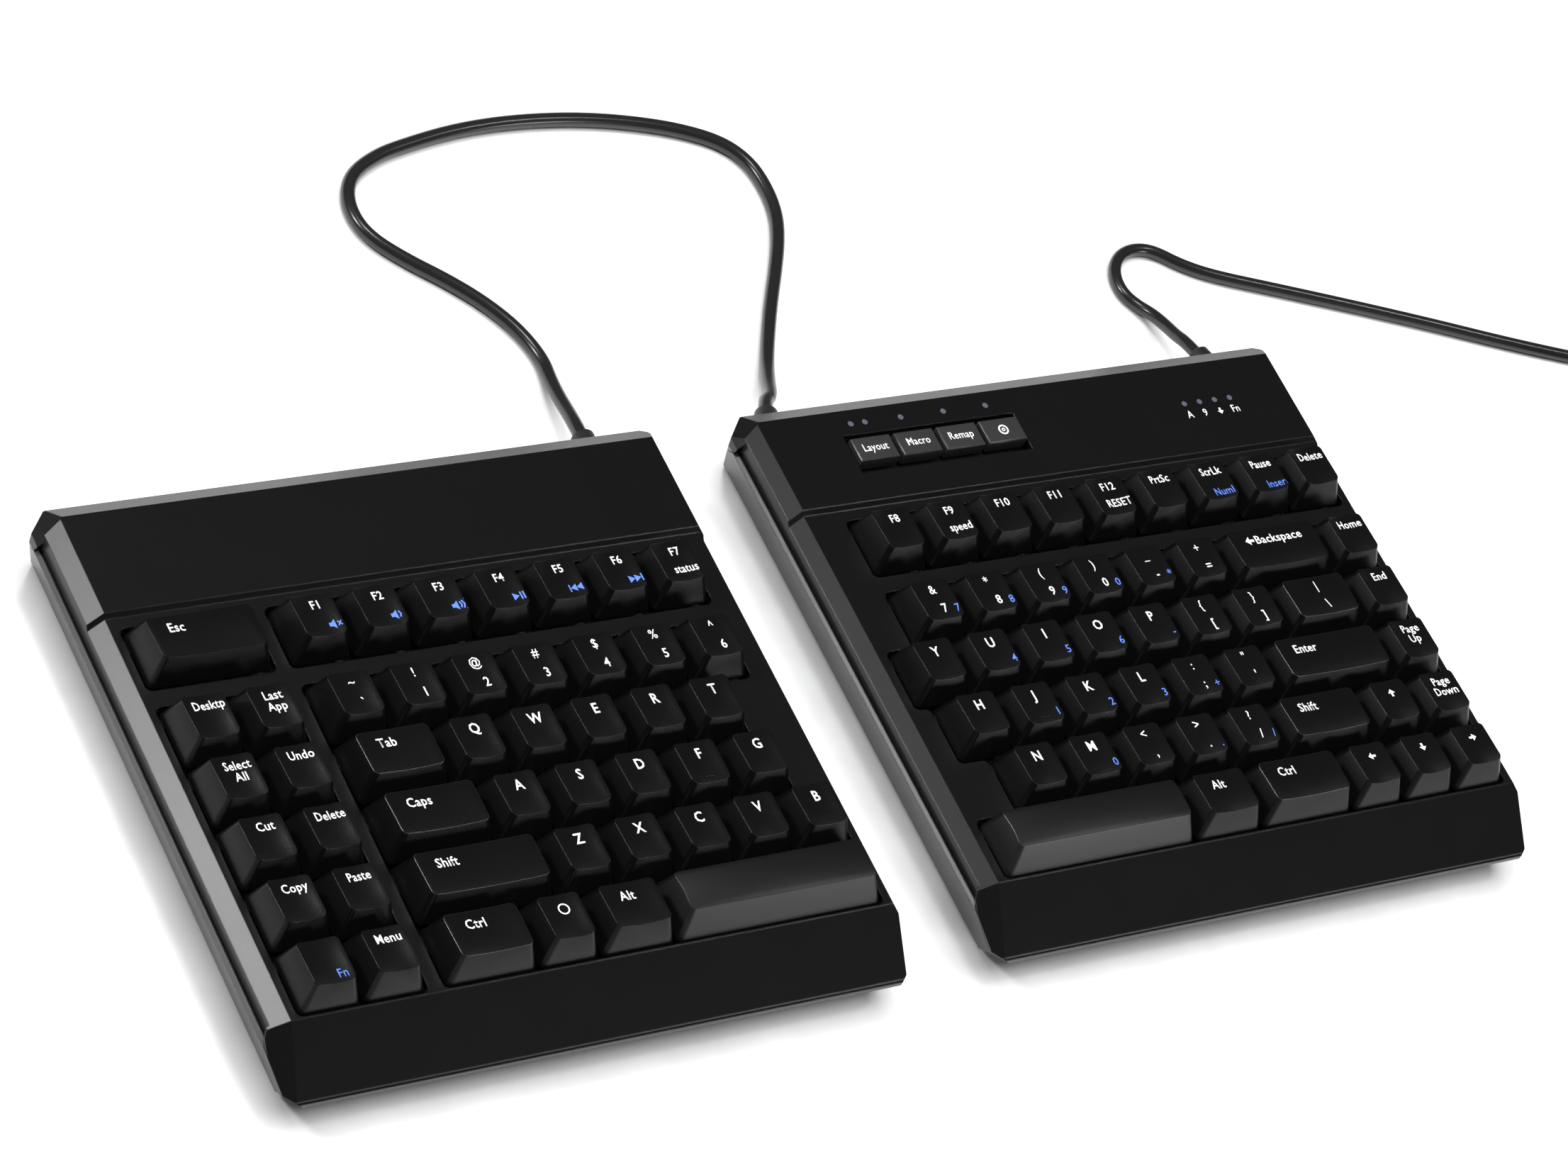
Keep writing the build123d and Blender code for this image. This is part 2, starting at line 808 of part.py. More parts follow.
def button_cap(left):
    """Hollow rectangular button with softened upper edges and a pad over its dome."""
    x_span = (left, left + button_width)
    y_span = (button_front, button_front + button_depth)
    z_span = (button_top - button_height, button_top)
    cap = box_between(x_span, y_span, z_span)
    cap = chamfer(cap.faces().sort_by(Axis.Z)[-1].edges(), button_edge / 2)
    inner = [(low + button_wall, high - button_wall) for low, high in (x_span, y_span)]
    cap -= box_between(*inner, (z_span[0] - overrun, button_top - button_wall))
    middle = [(low + high) / 2 for low, high in (x_span, y_span)]
    return cap + upright(*middle, dome_radius / 2, (z_span[0], button_top - button_wall))


def light_places():
    """Middles of the lights: two over the first button, one over each other one, and four to the right."""
    mode_light = button_light_start + mode_light_offset
    row = [button_light_start, mode_light]
    row += [mode_light - second_light_shift + i * button_pitch for i in range(1, len(button_names))]
    places = [(x, button_light_row) for x in row]
    return places + [(key_light_start + i * key_light_pitch, key_light_row) for i in range(key_light_count)]


def light_pipes():
    """Short clear pins flush with the panel, each with a flange beneath it."""
    top = panel_height + light_stand
    under = panel_height - case_wall
    pipes = []
    for x, y in light_places():
        pipe = upright(x, y, light_radius, (top - light_length, top))
        pipes.append(pipe + upright(x, y, light_radius + light_flange, (under - light_flange_height, under)))
    return pipes


def button_board():
    """Small board under the buttons, with a dome switch below each one."""
    dome_top = button_top - button_height - button_travel
    board_z = dome_top - dome_height
    x_span = (button_recess_start - button_board_margin, button_recess_end + button_board_margin)
    y_span = (button_recess_front, button_recess_back)
    parts = [box_between(x_span, y_span, (board_z - button_board_thickness, board_z))]
    for left in button_places():
        middle = (left + button_width / 2, button_front + button_depth / 2)
        parts.append(upright(*middle, dome_radius, (board_z, dome_top)))
    return parts


def right_panel_fittings(case):
    """Recess of the buttons, the holes of the lights and the bosses that carry the button board."""
    recess_x = (button_recess_start, button_recess_end)
    recess_y = (button_recess_front, button_recess_back)
    case -= box_between(recess_x, recess_y, (panel_height - 2 * case_wall, panel_height + overrun))
    through = (panel_height - 2 * case_wall, panel_height + overrun)
    for x, y in light_places():
        case -= upright(x, y, light_radius + light_fit, through)
    board_z = button_top - button_height - button_travel - dome_height
    for x in (recess_x[0] - button_board_margin / 2, recess_x[1] + button_board_margin / 2):
        middle = (recess_y[0] + recess_y[1]) / 2
        case += upright(x, middle, button_board_margin / 3, (board_z, panel_height - case_wall / 2))
    return case


def corner_radii(points):
    """Arc radius at each inner corner of a cord's route, from its shorter run and the turn."""
    shorter_run_share = 0.45
    radii = []
    for before, here, after in zip(points, points[1:], points[2:]):
        run_in = Vector(*here) - Vector(*before)
        run_out = Vector(*after) - Vector(*here)
        half_turn = radians(run_in.get_angle(run_out)) / 2
        radii.append(shorter_run_share * min(run_in.length, run_out.length) / tan(half_turn))
    return radii


def cord_tube(name, points, diameter):
    """Round cord along a route of straight runs joined by tangent arcs."""
    radii = corner_radii(points)
    path = FilletPolyline(*points, radius=radii)
    tube = sweep(Plane(path @ 0, z_dir=path % 0) * Circle(diameter / 2), path=path)
    expected = pi * diameter**2 / 4 * path.length
    runs = [(Vector(*b) - Vector(*a)).length for a, b in zip(points, points[1:])]
    print(name, "length", round(path.length, 1), "volume over expected", round(tube.volume / expected, 4))
    print("  runs", [round(run, 1) for run in runs])
    print("  radii", [round(radius, 1) for radius in radii])
    return tube


# Routes of the cords on the desk, from the first bend after the strain relief, in the keyboard's frame
link_cord_route = [
    (-25.1, 107.6, 8.4),
    (-23.4, 114.9, 5.6),
    (-21.6, 122.5, 3.3),
    (-19.9, 131.0, 2.2),
    (-22.8, 142.1, 2.2),
    (-29.3, 152.8, 2.2),
    (-37.8, 162.2, 2.2),
    (-46.7, 170.1, 2.2),
    (-54.8, 179.4, 2.2),
    (-56.9, 188.0, 2.2),
    (-55.0, 196.6, 2.2),
    (-49.4, 203.5, 2.2),
    (-38.9, 208.6, 2.2),
    (-28.9, 211.1, 2.2),
    (-13.3, 214.2, 2.2),
    (2.8, 215.7, 2.2),
    (19.6, 215.6, 2.2),
    (35.9, 214.1, 2.2),
    (51.6, 211.0, 2.2),
    (65.5, 206.8, 2.2),
    (77.4, 200.8, 2.2),
    (83.4, 192.7, 2.2),
    (84.7, 183.1, 2.2),
    (83.4, 172.6, 2.2),
    (79.1, 162.8, 2.2),
    (72.3, 151.7, 2.2),
    (64.3, 139.6, 2.2),
    (56.9, 127.2, 2.2),
    (51.0, 117.6, 3.6),
    (46.2, 109.9, 6.4),
    (42.1, 103.4, 9.4),
]
usb_cord_route = [
    (194.6, 106.4, 8.4),
    (195.4, 112.5, 5.7),
    (194.9, 118.6, 3.5),
    (192.5, 123.6, 2.0),
    (190.1, 128.4, 2.0),
    (190.5, 134.5, 2.0),
    (193.5, 139.8, 2.0),
    (198.5, 143.3, 2.0),
    (204.5, 144.2, 2.0),
    (210.3, 142.5, 2.0),
    (217.3, 136.2, 2.0),
    (226.7, 130.8, 2.0),
    (246.3, 123.3, 2.0),
    (270.8, 113.7, 2.0),
    (297.5, 102.8, 2.0),
    (324.0, 91.3, 2.0),
    (350.6, 80.9, 2.0),
    (375.7, 72.7, 2.0),
]


def link_cord():
    """Cord between the halves, from one strain relief round the desk to the other."""
    start = relief_tip(left_place, left_exit, left_exit_turn)
    end = relief_tip(right_place, right_exit, right_exit_turn)
    first = start + exit_direction(left_exit_turn) * cord_lead
    last = end + exit_direction(right_exit_turn) * cord_lead
    return cord_tube("link cord", [start, first, *link_cord_route, last, end], link_cord_diameter)


def usb_cord():
    """Cord from the right half to its coil."""
    start = relief_tip(right_place, usb_exit, usb_exit_turn)
    first = start + exit_direction(usb_exit_turn) * cord_lead
    return cord_tube("usb cord", [start, first, *usb_cord_route], usb_cord_diameter)


def biarc(start, start_way, end, end_way):
    """Two arcs that join two points with the given ways at both."""
    chord = end - start
    ways = start_way + end_way
    spread = 2 * (1 - start_way.dot(end_way))
    along = chord.dot(ways)
    square = chord.dot(chord)
    if spread > parallel_limit:
        reach = (sqrt(along**2 + spread * square) - along) / spread
    else:
        reach = square / (4 * chord.dot(end_way))
    near = start + start_way * reach
    far = end - end_way * reach
    middle = (near + far) / 2
    return [TangentArc(start, middle, tangent=start_way), TangentArc(middle, end, tangent=far - near)]


def coil_stop(turn, middle, start_angle):
    """Point and way of the coil's centre line after a number of turns, clockwise from above."""
    layer = min(int(turn / coil_layer_turns), coil_layers - 1)
    inward = layer % 2 == 0
    along = turn - layer * coil_layer_turns
    inner = coil_radius - coil_layer_turns * pitch_in_coil
    radius = coil_radius - along * pitch_in_coil if inward else inner + along * pitch_in_coil
    nearest = round(turn / coil_layer_turns)
    climbing = abs(turn - nearest * coil_layer_turns) < coil_climb_turns and 0 < nearest < coil_layers
    height = usb_cord_diameter / 2 + layer * pitch_in_coil
    drift = (-1 if inward else 1) * pitch_in_coil / (2 * pi)
    rise = 0
    if climbing:
        height = usb_cord_diameter / 2 + (nearest - 1 / 2) * pitch_in_coil
        drift = 0
        rise = pitch_in_coil / (4 * pi * coil_climb_turns)
    angle = start_angle - 2 * pi * turn
    outward = Vector(cos(angle), sin(angle), 0)
    onward = Vector(sin(angle), -cos(angle), 0)
    way = (onward * radius + outward * drift + Vector(0, 0, rise)).normalized()
    return middle + outward * radius + Vector(0, 0, height), way


def coil_path():
    """Centre line of the coil: straight lead, piled loops, and the tail down to the plug."""
    lead = usb_cord_diameter
    before, start = [Vector(*point) for point in usb_cord_route[-2:]]
    way = (start - before).normalized()
    first = start + way * lead
    right = Vector(way.Y, -way.X, 0)
    middle = first + right * coil_radius
    middle = Vector(middle.X, middle.Y, 0)
    start_angle = atan2(-right.Y, -right.X)
    stops = [
        coil_stop(i / coil_stops_a_turn, middle, start_angle)
        for i in range(1, round(coil_stops_a_turn * coil_turns) + 1)
    ]
    edges = [Line(start, first)]
    here, here_way = first, way
    for stop, stop_way in stops:
        edges += biarc(here, here_way, stop, stop_way)
        here, here_way = stop, stop_way
    level_way = here_way
    clear = here + level_way * tail_clear_run
    edges.append(Line(here, clear))
    low = clear + level_way * tail_drop_run
    low = Vector(low.X, low.Y, plug_height / 2)
    edges += biarc(clear, level_way, low, level_way)
    end = low + level_way * lead
    edges.append(Line(low, end))
    return Wire(edges), end, level_way


def least_gap(path):
    """Least gap between parts of the coil that aren't neighbours along it, measured on points."""
    step = usb_cord_diameter / gap_steps
    count = int(path.length / step)
    points = [path.position_at(i / count) for i in range(count + 1)]
    apart = neighbour_diameters * gap_steps
    nearest = min((a - b).length for i, a in enumerate(points) for b in points[i + apart:])
    return nearest - usb_cord_diameter


def usb_coil():
    """Coil of the cord's unseen length, one unbroken tube."""
    path = coil_path()[0]
    tube = sweep(Plane(path @ 0, z_dir=path % 0) * Circle(usb_cord_diameter / 2), path=path)
    expected = pi * usb_cord_diameter**2 / 4 * path.length
    print("coil length", round(path.length, 1), "volume over expected", round(tube.volume / expected, 4))
    print("coil least gap", round(least_gap(path), 2))
    return tube


def usb_plug():
    """Moulded grip, its strain relief, and the metal shell with its tongue."""
    end, way = coil_path()[1:]
    place = Plane(origin=end, x_dir=Vector(way.Y, -way.X, 0), z_dir=way)
    grip = Location((0, 0, plug_relief_length + plug_length / 2)) * Box(plug_width, plug_height, plug_length)
    grip = chamfer(grip.edges(), plug_edge)
    cone = Cone(plug_relief_tip_radius, plug_relief_radius, plug_relief_length + plug_edge)
    grip += Location((0, 0, (plug_relief_length + plug_edge) / 2)) * cone
    shell_start = plug_relief_length + plug_length
    middle = Location((0, 0, shell_start + plug_shell_length / 2))
    inner_width = plug_shell_width - 2 * plug_shell_wall
    hollow = Box(inner_width, plug_shell_height - 2 * plug_shell_wall, 2 * plug_shell_length)
    shell = middle * (Box(plug_shell_width, plug_shell_height, plug_shell_length) - hollow)
    tongue_width = inner_width - 2 * plug_shell_wall
    tongue = middle * Box(tongue_width, plug_tongue_height, plug_tongue_share * plug_shell_length)
    back = (1 - plug_tongue_share) * plug_shell_length / 2
    tongue = Location((0, -plug_tongue_height / 2, -back)) * tongue
    return [place * grip, place * shell, place * tongue]


def half_case(side, blocks, exits, place):
    """Case, plate, board and fasteners of one half, by node name."""
    shell = case_body(0) - case_body(case_wall)
    top = top_case(shell, blocks, exits)
    centres = [cell_centre(cell) for cell in all_cells(blocks)]
    if side == "right":
        top = right_panel_fittings(top)
    return {
        side + "_top_case": placed([top], place),
        side + "_bottom_case": placed([bottom_case(shell, exits)], place),
        side + "_switch_plate": placed([switch_plate(blocks)], place),
        side + "_circuit_board": placed(circuit_board(), place),
        side + "_switch_housings": placed(copies(switch_housing(), centres), place),
        side + "_stabilizers": placed(stabilizers(blocks), place),
        side + "_feet": placed(rubber_feet(), place),
        side + "_case_screws": placed(case_screws(), place),
    }


def build_nodes():
    """Every node of the keyboard by name."""
    home = Location((0, 0, 0))
    nodes = half_case("left", left_blocks, [left_exit], left_place)
    nodes.update(half_case("right", right_blocks, [right_exit, usb_exit], right_place))
    nodes.update(key_banks(left_blocks, left_place))
    nodes.update(key_banks(right_blocks, right_place))
    nodes["left_link_strain_relief"] = placed([strain_relief(left_exit, left_exit_turn)], left_place)
    nodes["right_link_strain_relief"] = placed([strain_relief(right_exit, right_exit_turn)], right_place)
    nodes["right_usb_strain_relief"] = placed([strain_relief(usb_exit, usb_exit_turn)], right_place)
    nodes["right_button_board"] = placed(button_board(), right_place)
    nodes["right_light_pipes"] = placed(light_pipes(), right_place)
    for name, left in zip(button_names, button_places()):
        nodes[name] = placed([button_cap(left)], right_place)
    nodes["link_cord"] = placed([link_cord()], home)
    nodes["usb_cord"] = placed([usb_cord()], home)
    nodes["usb_cord_coil"] = placed([usb_coil()], home)
    nodes["usb_plug"] = placed(usb_plug(), home)
    return nodes


os.makedirs("parts", exist_ok=True)
for node_name, model in build_nodes().items():
    export_step(model, "parts/" + node_name + ".step")
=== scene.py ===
"""Looks of the split keyboard: finishes, softened keycaps with legends, buttons, print, lights and cords.

Lengths are in metres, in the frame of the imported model: X to the right, Y to the back, Z up from the desk.
"""

from math import cos, pi, radians, sin

import bmesh
import bpy
from bpy.props import FloatProperty, FloatVectorProperty, PointerProperty
from bpy.types import Operator, Panel, PropertyGroup
from mathutils import Matrix, Vector


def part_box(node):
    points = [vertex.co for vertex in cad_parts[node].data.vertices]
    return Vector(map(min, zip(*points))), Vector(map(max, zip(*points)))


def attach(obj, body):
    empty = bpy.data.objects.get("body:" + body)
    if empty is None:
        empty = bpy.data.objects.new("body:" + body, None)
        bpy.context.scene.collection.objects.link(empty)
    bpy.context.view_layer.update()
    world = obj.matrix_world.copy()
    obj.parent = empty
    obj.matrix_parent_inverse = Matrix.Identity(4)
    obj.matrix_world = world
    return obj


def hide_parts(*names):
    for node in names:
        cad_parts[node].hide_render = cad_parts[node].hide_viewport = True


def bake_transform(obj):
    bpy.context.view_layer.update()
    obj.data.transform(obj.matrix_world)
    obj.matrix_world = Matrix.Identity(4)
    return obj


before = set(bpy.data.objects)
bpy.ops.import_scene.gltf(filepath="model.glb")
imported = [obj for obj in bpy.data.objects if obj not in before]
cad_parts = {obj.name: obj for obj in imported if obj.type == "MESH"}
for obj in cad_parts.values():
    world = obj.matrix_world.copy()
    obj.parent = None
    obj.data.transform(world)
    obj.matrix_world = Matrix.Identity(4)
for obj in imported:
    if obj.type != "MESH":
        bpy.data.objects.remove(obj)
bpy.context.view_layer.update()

bl_info = {
    "name": "Split keyboard",
    "version": (1, 0, 0),
    "blender": (4, 5, 0),
    "location": "View3D > Sidebar > Keyboard",
    "description": "Dresses the packed split keyboard with finishes, legends and cords",
    "category": "Object",
}

# Layout of the keys, as the solids have it
key_unit = 0.01905
middle_x = 0.2020
middle_y = 0.07195
half_pitch = 0.2228
main_start = 0.0462
side_start = 0.0027
escape_start = 0.0030
right_main_start = 0.0128
function_gap = 0.0062
function_row = 5

# Routes of the cords, the same points as the solids follow
link_cord_route = (
    (-0.027997, 0.095929, 0.012465),
    (-0.026792, 0.101598, 0.010912),
    (-0.0251, 0.1076, 0.0084),
    (-0.0234, 0.1149, 0.0056),
    (-0.0216, 0.1225, 0.0033),
    (-0.0199, 0.1310, 0.0022),
    (-0.0228, 0.1421, 0.0022),
    (-0.0293, 0.1528, 0.0022),
    (-0.0378, 0.1622, 0.0022),
    (-0.0467, 0.1701, 0.0022),
    (-0.0548, 0.1794, 0.0022),
    (-0.0569, 0.1880, 0.0022),
    (-0.0550, 0.1966, 0.0022),
    (-0.0494, 0.2035, 0.0022),
    (-0.0389, 0.2086, 0.0022),
    (-0.0289, 0.2111, 0.0022),
    (-0.0133, 0.2142, 0.0022),
    (0.0028, 0.2157, 0.0022),
    (0.0196, 0.2156, 0.0022),
    (0.0359, 0.2141, 0.0022),
    (0.0516, 0.2110, 0.0022),
    (0.0655, 0.2068, 0.0022),
    (0.0774, 0.2008, 0.0022),
    (0.0834, 0.1927, 0.0022),
    (0.0847, 0.1831, 0.0022),
    (0.0834, 0.1726, 0.0022),
    (0.0791, 0.1628, 0.0022),
    (0.0723, 0.1517, 0.0022),
    (0.0643, 0.1396, 0.0022),
    (0.0569, 0.1272, 0.0022),
    (0.0510, 0.1176, 0.0036),
    (0.0462, 0.1099, 0.0064),
    (0.0421, 0.1034, 0.0094),
    (0.037930, 0.100515, 0.010912),
    (0.035032, 0.095496, 0.012465),
)
usb_cord_route = (
    (0.1943, 0.096014, 0.012465),
    (0.1943, 0.101809, 0.010912),
    (0.1946, 0.1064, 0.0084),
    (0.1954, 0.1125, 0.0057),
    (0.1949, 0.1186, 0.0035),
    (0.1925, 0.1236, 0.0020),
    (0.1901, 0.1284, 0.0020),
    (0.1905, 0.1345, 0.0020),
    (0.1935, 0.1398, 0.0020),
    (0.1985, 0.1433, 0.0020),
    (0.2045, 0.1442, 0.0020),
    (0.2103, 0.1425, 0.0020),
    (0.2173, 0.1362, 0.0020),
    (0.2267, 0.1308, 0.0020),
    (0.2463, 0.1233, 0.0020),
    (0.2708, 0.1137, 0.0020),
    (0.2975, 0.1028, 0.0020),
    (0.3240, 0.0913, 0.0020),
    (0.3506, 0.0809, 0.0020),
    (0.3757, 0.0727, 0.0020),
)

# Sizes of the cords and of the coil, and its tail up to the plug as reaches and heights
link_cord_diameter = 0.0044
usb_cord_diameter = 0.0040
coil_middle = (0.36832, 0.03724)
coil_start_angle = radians(71.9)
coil_radius = 0.0360
coil_pitch = 0.0046
coil_layer_turns = 2
coil_layers = 4
coil_turns = 7.25
coil_points_a_turn = 16
coil_layer_change = 1 / 4
tail_points = (
    (0.0040, 0.0158),
    (0.0120, 0.0158),
    (0.0200, 0.0158),
    (0.0280, 0.0156),
    (0.0360, 0.0132),
    (0.0440, 0.0066),
    (0.0500, 0.0043),
    (0.0540, 0.0041),
)
tail_end_reach = 0.0580
plug_centre_height = 0.0041
plug_shell_start = 0.0361

# Fineness of round shapes
cord_curve_order = 3
cord_fineness_along = 8
cord_fineness_round = 4
letter_fineness = 2
ring_sides = 32
edge_segments = 2

# The photograph's camera
camera_place = (-0.9246, -0.6718, 1.1769)
camera_target = (-0.0038, 0.02575, 0.0310)
camera_roll = radians(34.079)
camera_lens = 135.8
camera_sensor = 36

# Print: the level that it starts from, a capital's share of the font's size, spacing, weights and widths
print_start = 0.045
capital_share = 0.73
letter_spacing = 1.04
letter_weight = 0.026
word_weight = 0.018
thin_weight = 0.010
word_squeeze = 0.86
long_word_squeeze = 0.80
wide_key_squeeze = 0.90
backspace_squeeze = 0.98
long_word_letters = 5
wide_key_units = 1.1

# Heights of the print, as shares of a word's height
two_sign_share = 1.04
narrow_word_share = 0.94
blue_share = 0.92
key_arrow_share = 0.80
button_word_share = 0.88
panel_word_share = 0.90
panel_arrow_share = 0.70

# Places of the print on a keycap: shift from the key's middle or its left edge, and rise from its front edge
letter_place = (0.0005, 0.0116)
arrow_place = (0.0008, 0.0128)
ring_place = (0.0006, 0.0126)
upper_sign_place = (0.0004, 0.0126)
lower_sign_place = (0.0012, 0.0060)
wide_word_place = (0.0086, 0.0117)
backspace_arrow_place = (0.0102, 0.0132)
backspace_word_place = (0.0121, 0.0119)
word_place = (0.0008, 0.0125)
second_word_shift = 0.0008
second_word_drop = 0.0036
function_word_drop = 0.0060
blue_sign_place = (0.0034, 0.0068)
blue_letter_place = (0.0050, 0.0054)
blue_word_place = (0.0030, 0.0050)
ring_radius = 0.0017
ring_width = 0.0004

# The raised bar of a homing key: its size, its rise from the key's front edge and its level, and its rounding
homing_bar_size = (0.0032, 0.0005, 0.0006)
homing_bar_place = (0.0056, 0.0303)
homing_bar_rounding = 0.00018

# Print of the right panel: words by the lights and on the buttons
panel_words = ("A", "9", "down", "Fn")
panel_word_pitch = 0.00575
panel_last_inset = 0.0014
panel_words_y = 0.06625
panel_arrow_rise = 0.0011
button_words = {
    "layout_button": "Layout",
    "macro_button": "Macro",
    "remap_button": "Remap",
    "program_button": "",
}
button_word_drop = 0.0009
button_ring_radius = 0.0017
button_ring_width = 0.0005
button_dot_radius = 0.0006
button_dot_width = 0.0003

# Softening: the levels from which edges are rounded, and the angles of flat, sharp and smooth joints of faces
cap_edge_level = 0.0240
button_edge_level = 0.0235
join_distance = 0.000002
flat_angle = radians(0.6)
sharp_angle = radians(28)
smooth_angle = radians(35)

# Lights: name, place, size, power and whether glossy surfaces show them
lights = (
    ("overhead_light", (0, 0, 2.6), 3.2, 118, False),
    ("bevel_light", (-0.186, 0.505, 1.21), 0.22, 4.5, True),
    ("ridge_light", (0.90, -0.10, 1.33), 0.16, 2.8, True),
    ("front_edge_light", (0.90, -1.28, 0.40), 0.26, 4, True),
    ("left_edge_light", (-1.20, 0.70, 0.95), 0.26, 12, True),
)

# Studio: the floor's size and level, and the air's tint, its strength and the backdrop that the camera sees
floor_size = 24
floor_level = -0.0002
air_tint = (0.9, 0.95, 1)
air_strength = 0.05
backdrop = (0.93, 0.93, 0.94)

# Finishes: a changeable colour's name or a fixed colour, and what the surface is like
finishes = {
    "keycap_plastic": {
        "colour": "keycap", "roughness": 0.32, "specular": 0.3,
        "edge": 0.0003, "grain": 0.3, "grain_size": 0.00025, "unevenness": 0.04,
    },
    "spacebar_plastic": {
        "colour": "keycap", "roughness": 0.42, "specular": 0.6,
        "edge": 0.0003, "grain": 0.2, "grain_size": 0.00025, "unevenness": 0.03,
    },
    # Rounded upper edges of caps and buttons: glossier than the caps, and lighter in colour as a painted
    # highlight along the edges
    "polished_edge": {"colour": (0.016, 0.016, 0.017), "roughness": 0.32, "specular": 1.0, "grain": 0.1},
    "button_plastic": {"colour": "keycap", "roughness": 0.36, "edge": 0.0002, "grain": 0.3},
    "white_print": {"colour": "legend", "roughness": 0.5, "grain": 0.05},
    "blue_print": {"colour": "second_legend", "roughness": 0.5, "grain": 0.05},
    "light_pipe_plastic": {"colour": "light", "roughness": 0.25, "grain": 0.02},
    "cord_jacket": {
        "colour": (0.003, 0.003, 0.0034), "roughness": 0.2, "specular": 0.16,
        "grain": 0.06, "grain_size": 0.0008,
    },
    "relief_rubber": {"colour": (0.009, 0.009, 0.009), "roughness": 0.5, "edge": 0.0003, "grain": 0.2},
    "foot_rubber": {"colour": (0.02, 0.02, 0.02), "roughness": 0.75, "edge": 0.0003, "grain": 0.4},
    "plate_steel": {"colour": (0.03, 0.03, 0.032), "roughness": 0.45, "edge": 0.0002, "grain": 0.1},
    "board_resin": {"colour": (0.004, 0.007, 0.005), "roughness": 0.4, "grain": 0.1},
    "switch_plastic": {"colour": (0.012, 0.012, 0.012), "roughness": 0.4, "edge": 0.0002, "grain": 0.1},
    "stabilizer_plastic": {"colour": (0.015, 0.015, 0.016), "roughness": 0.35, "grain": 0.08},
    "screw_steel": {
        "colour": (0.42, 0.42, 0.43), "roughness": 0.3, "metallic": 1.0,
        "edge": 0.0002, "grain": 0.1,
    },
    "studio_paper": {"colour": "desk", "roughness": 0.7, "specular": 0.2, "grain": 0.02, "grain_size": 0.002},
}
case_surface = {"roughness": 0.30, "edge": 0.0005, "grain": 0.2, "grain_size": 0.0003, "unevenness": 0.03}
plug_surface = {"roughness": 0.38, "edge": 0.0003, "grain": 0.1}
plug_black = (0.010, 0.010, 0.010)
plug_metal = (0.60, 0.60, 0.61)

# Limits of the painted sheen on the case: faces that lean to the left by this much and still look up by that
# much get a lighter colour for their reflection of the lamps
sheen_lean = -0.15
sheen_rise = 0.85

# What every surface has: usual gloss, slow and fine noise, height of the grain and spread of the colour
plain_specular = 0.5
slow_noise_scale = 60
slow_noise_detail = 4
fine_noise_detail = 2
grain_height = 0.0001
soft_edge_samples = 4
pigment_spread = 0.1

# Finishes of the pieces that keep their solid shape: in both halves, and in the right one alone
inner_finishes = {
    "switch_plate": "plate_steel",
    "circuit_board": "board_resin",
    "switch_housings": "switch_plastic",
    "stabilizers": "stabilizer_plastic",
    "feet": "foot_rubber",
    "case_screws": "screw_steel",
    "link_strain_relief": "relief_rubber",
}
right_finishes = {
    "right_usb_strain_relief": "relief_rubber",
    "right_button_board": "board_resin",
    "right_light_pipes": "light_pipe_plastic",
}

# Print of the keys by node, from the left: lines of white lettering from the back, then the blue print
key_prints = {
    "left_key_escape": (("Esc", ""),),
    "left_key_tab": (("Tab", ""),),
    "left_keys_top_letters": (("Q", ""), ("W", ""), ("E", ""), ("R", ""), ("T", "")),
    "left_key_caps_lock": (("Caps", ""),),
    "left_keys_home_letters": (("A", ""), ("S", ""), ("D", ""), ("F", ""), ("G", "")),
    "left_key_shift": (("Shift", ""),),
    "left_keys_bottom_letters": (("Z", ""), ("X", ""), ("C", ""), ("V", ""), ("B", "")),
    "left_key_control": (("Ctrl", ""),),
    "left_key_system": (("ring", ""),),
    "left_key_alt": (("Alt", ""),),
    "left_keys_function_row": (
        ("F1", "mute"),
        ("F2", "quieter"),
        ("F3", "louder"),
        ("F4", "play"),
        ("F5", "previous"),
        ("F6", "next"),
        ("F7\nstatus", ""),
    ),
    "left_keys_number_row": (
        ("~\n`", ""), ("!\n1", ""), ("@\n2", ""), ("#\n3", ""), ("$\n4", ""), ("%\n5", ""), ("^\n6", ""),
    ),
    "left_keys_side_columns": (
        ("", "Fn"), ("Menu", ""),
        ("Copy", ""), ("Paste", ""),
        ("Cut", ""), ("Delete", ""),
        ("Select\nAll", ""), ("Undo", ""),
        ("Desktp", ""), ("Last\nApp", ""),
    ),
    "right_keys_function_row": (
        ("F8", ""), ("F9\nspeed", ""), ("F10", ""), ("F11", ""), ("F12\nRESET", ""),
        ("PrtSc", ""), ("ScrLk", "NumLk"), ("Pause", "Insert"), ("Delete", ""),
    ),
    "right_keys_number_row": (
        ("&\n7", "7"), ("*\n8", "8"), ("(\n9", "9"), (")\n0", "0"), ("_\n-", "*"), ("+\n=", ""),
    ),
    "right_key_backspace": (("Backspace", ""),),
    "right_keys_navigation_column": (("Page\nDown", ""), ("Page\nUp", ""), ("End", ""), ("Home", "")),
    "right_keys_top_letters": (
        ("Y", ""), ("U", "4"), ("I", "5"), ("O", "6"), ("P", "-"), ("{\n[", ""), ("}\n]", ""),
    ),
    "right_key_backslash": (("|\n\\", ""),),
    "right_keys_home_letters": (("H", ""), ("J", "1"), ("K", "2"), ("L", "3"), (":\n;", "+"), ("\"\n'", "")),
    "right_key_enter": (("Enter", ""),),
    "right_keys_bottom_letters": (("N", ""), ("M", "0"), ("<\n,", ""), (">\n.", "."), ("?\n/", "/")),
    "right_key_shift": (("Shift", ""),),
    "right_key_up": (("up", ""),),
    "right_key_alt": (("Alt", ""),),
    "right_key_control": (("Ctrl", ""),),
    "right_key_left": (("left", ""),),
    "right_key_down": (("down", ""),),
    "right_key_right": (("right", ""),),
}
bare_keys = ("left_key_space", "right_key_space")
homing_letters = ("F", "J")

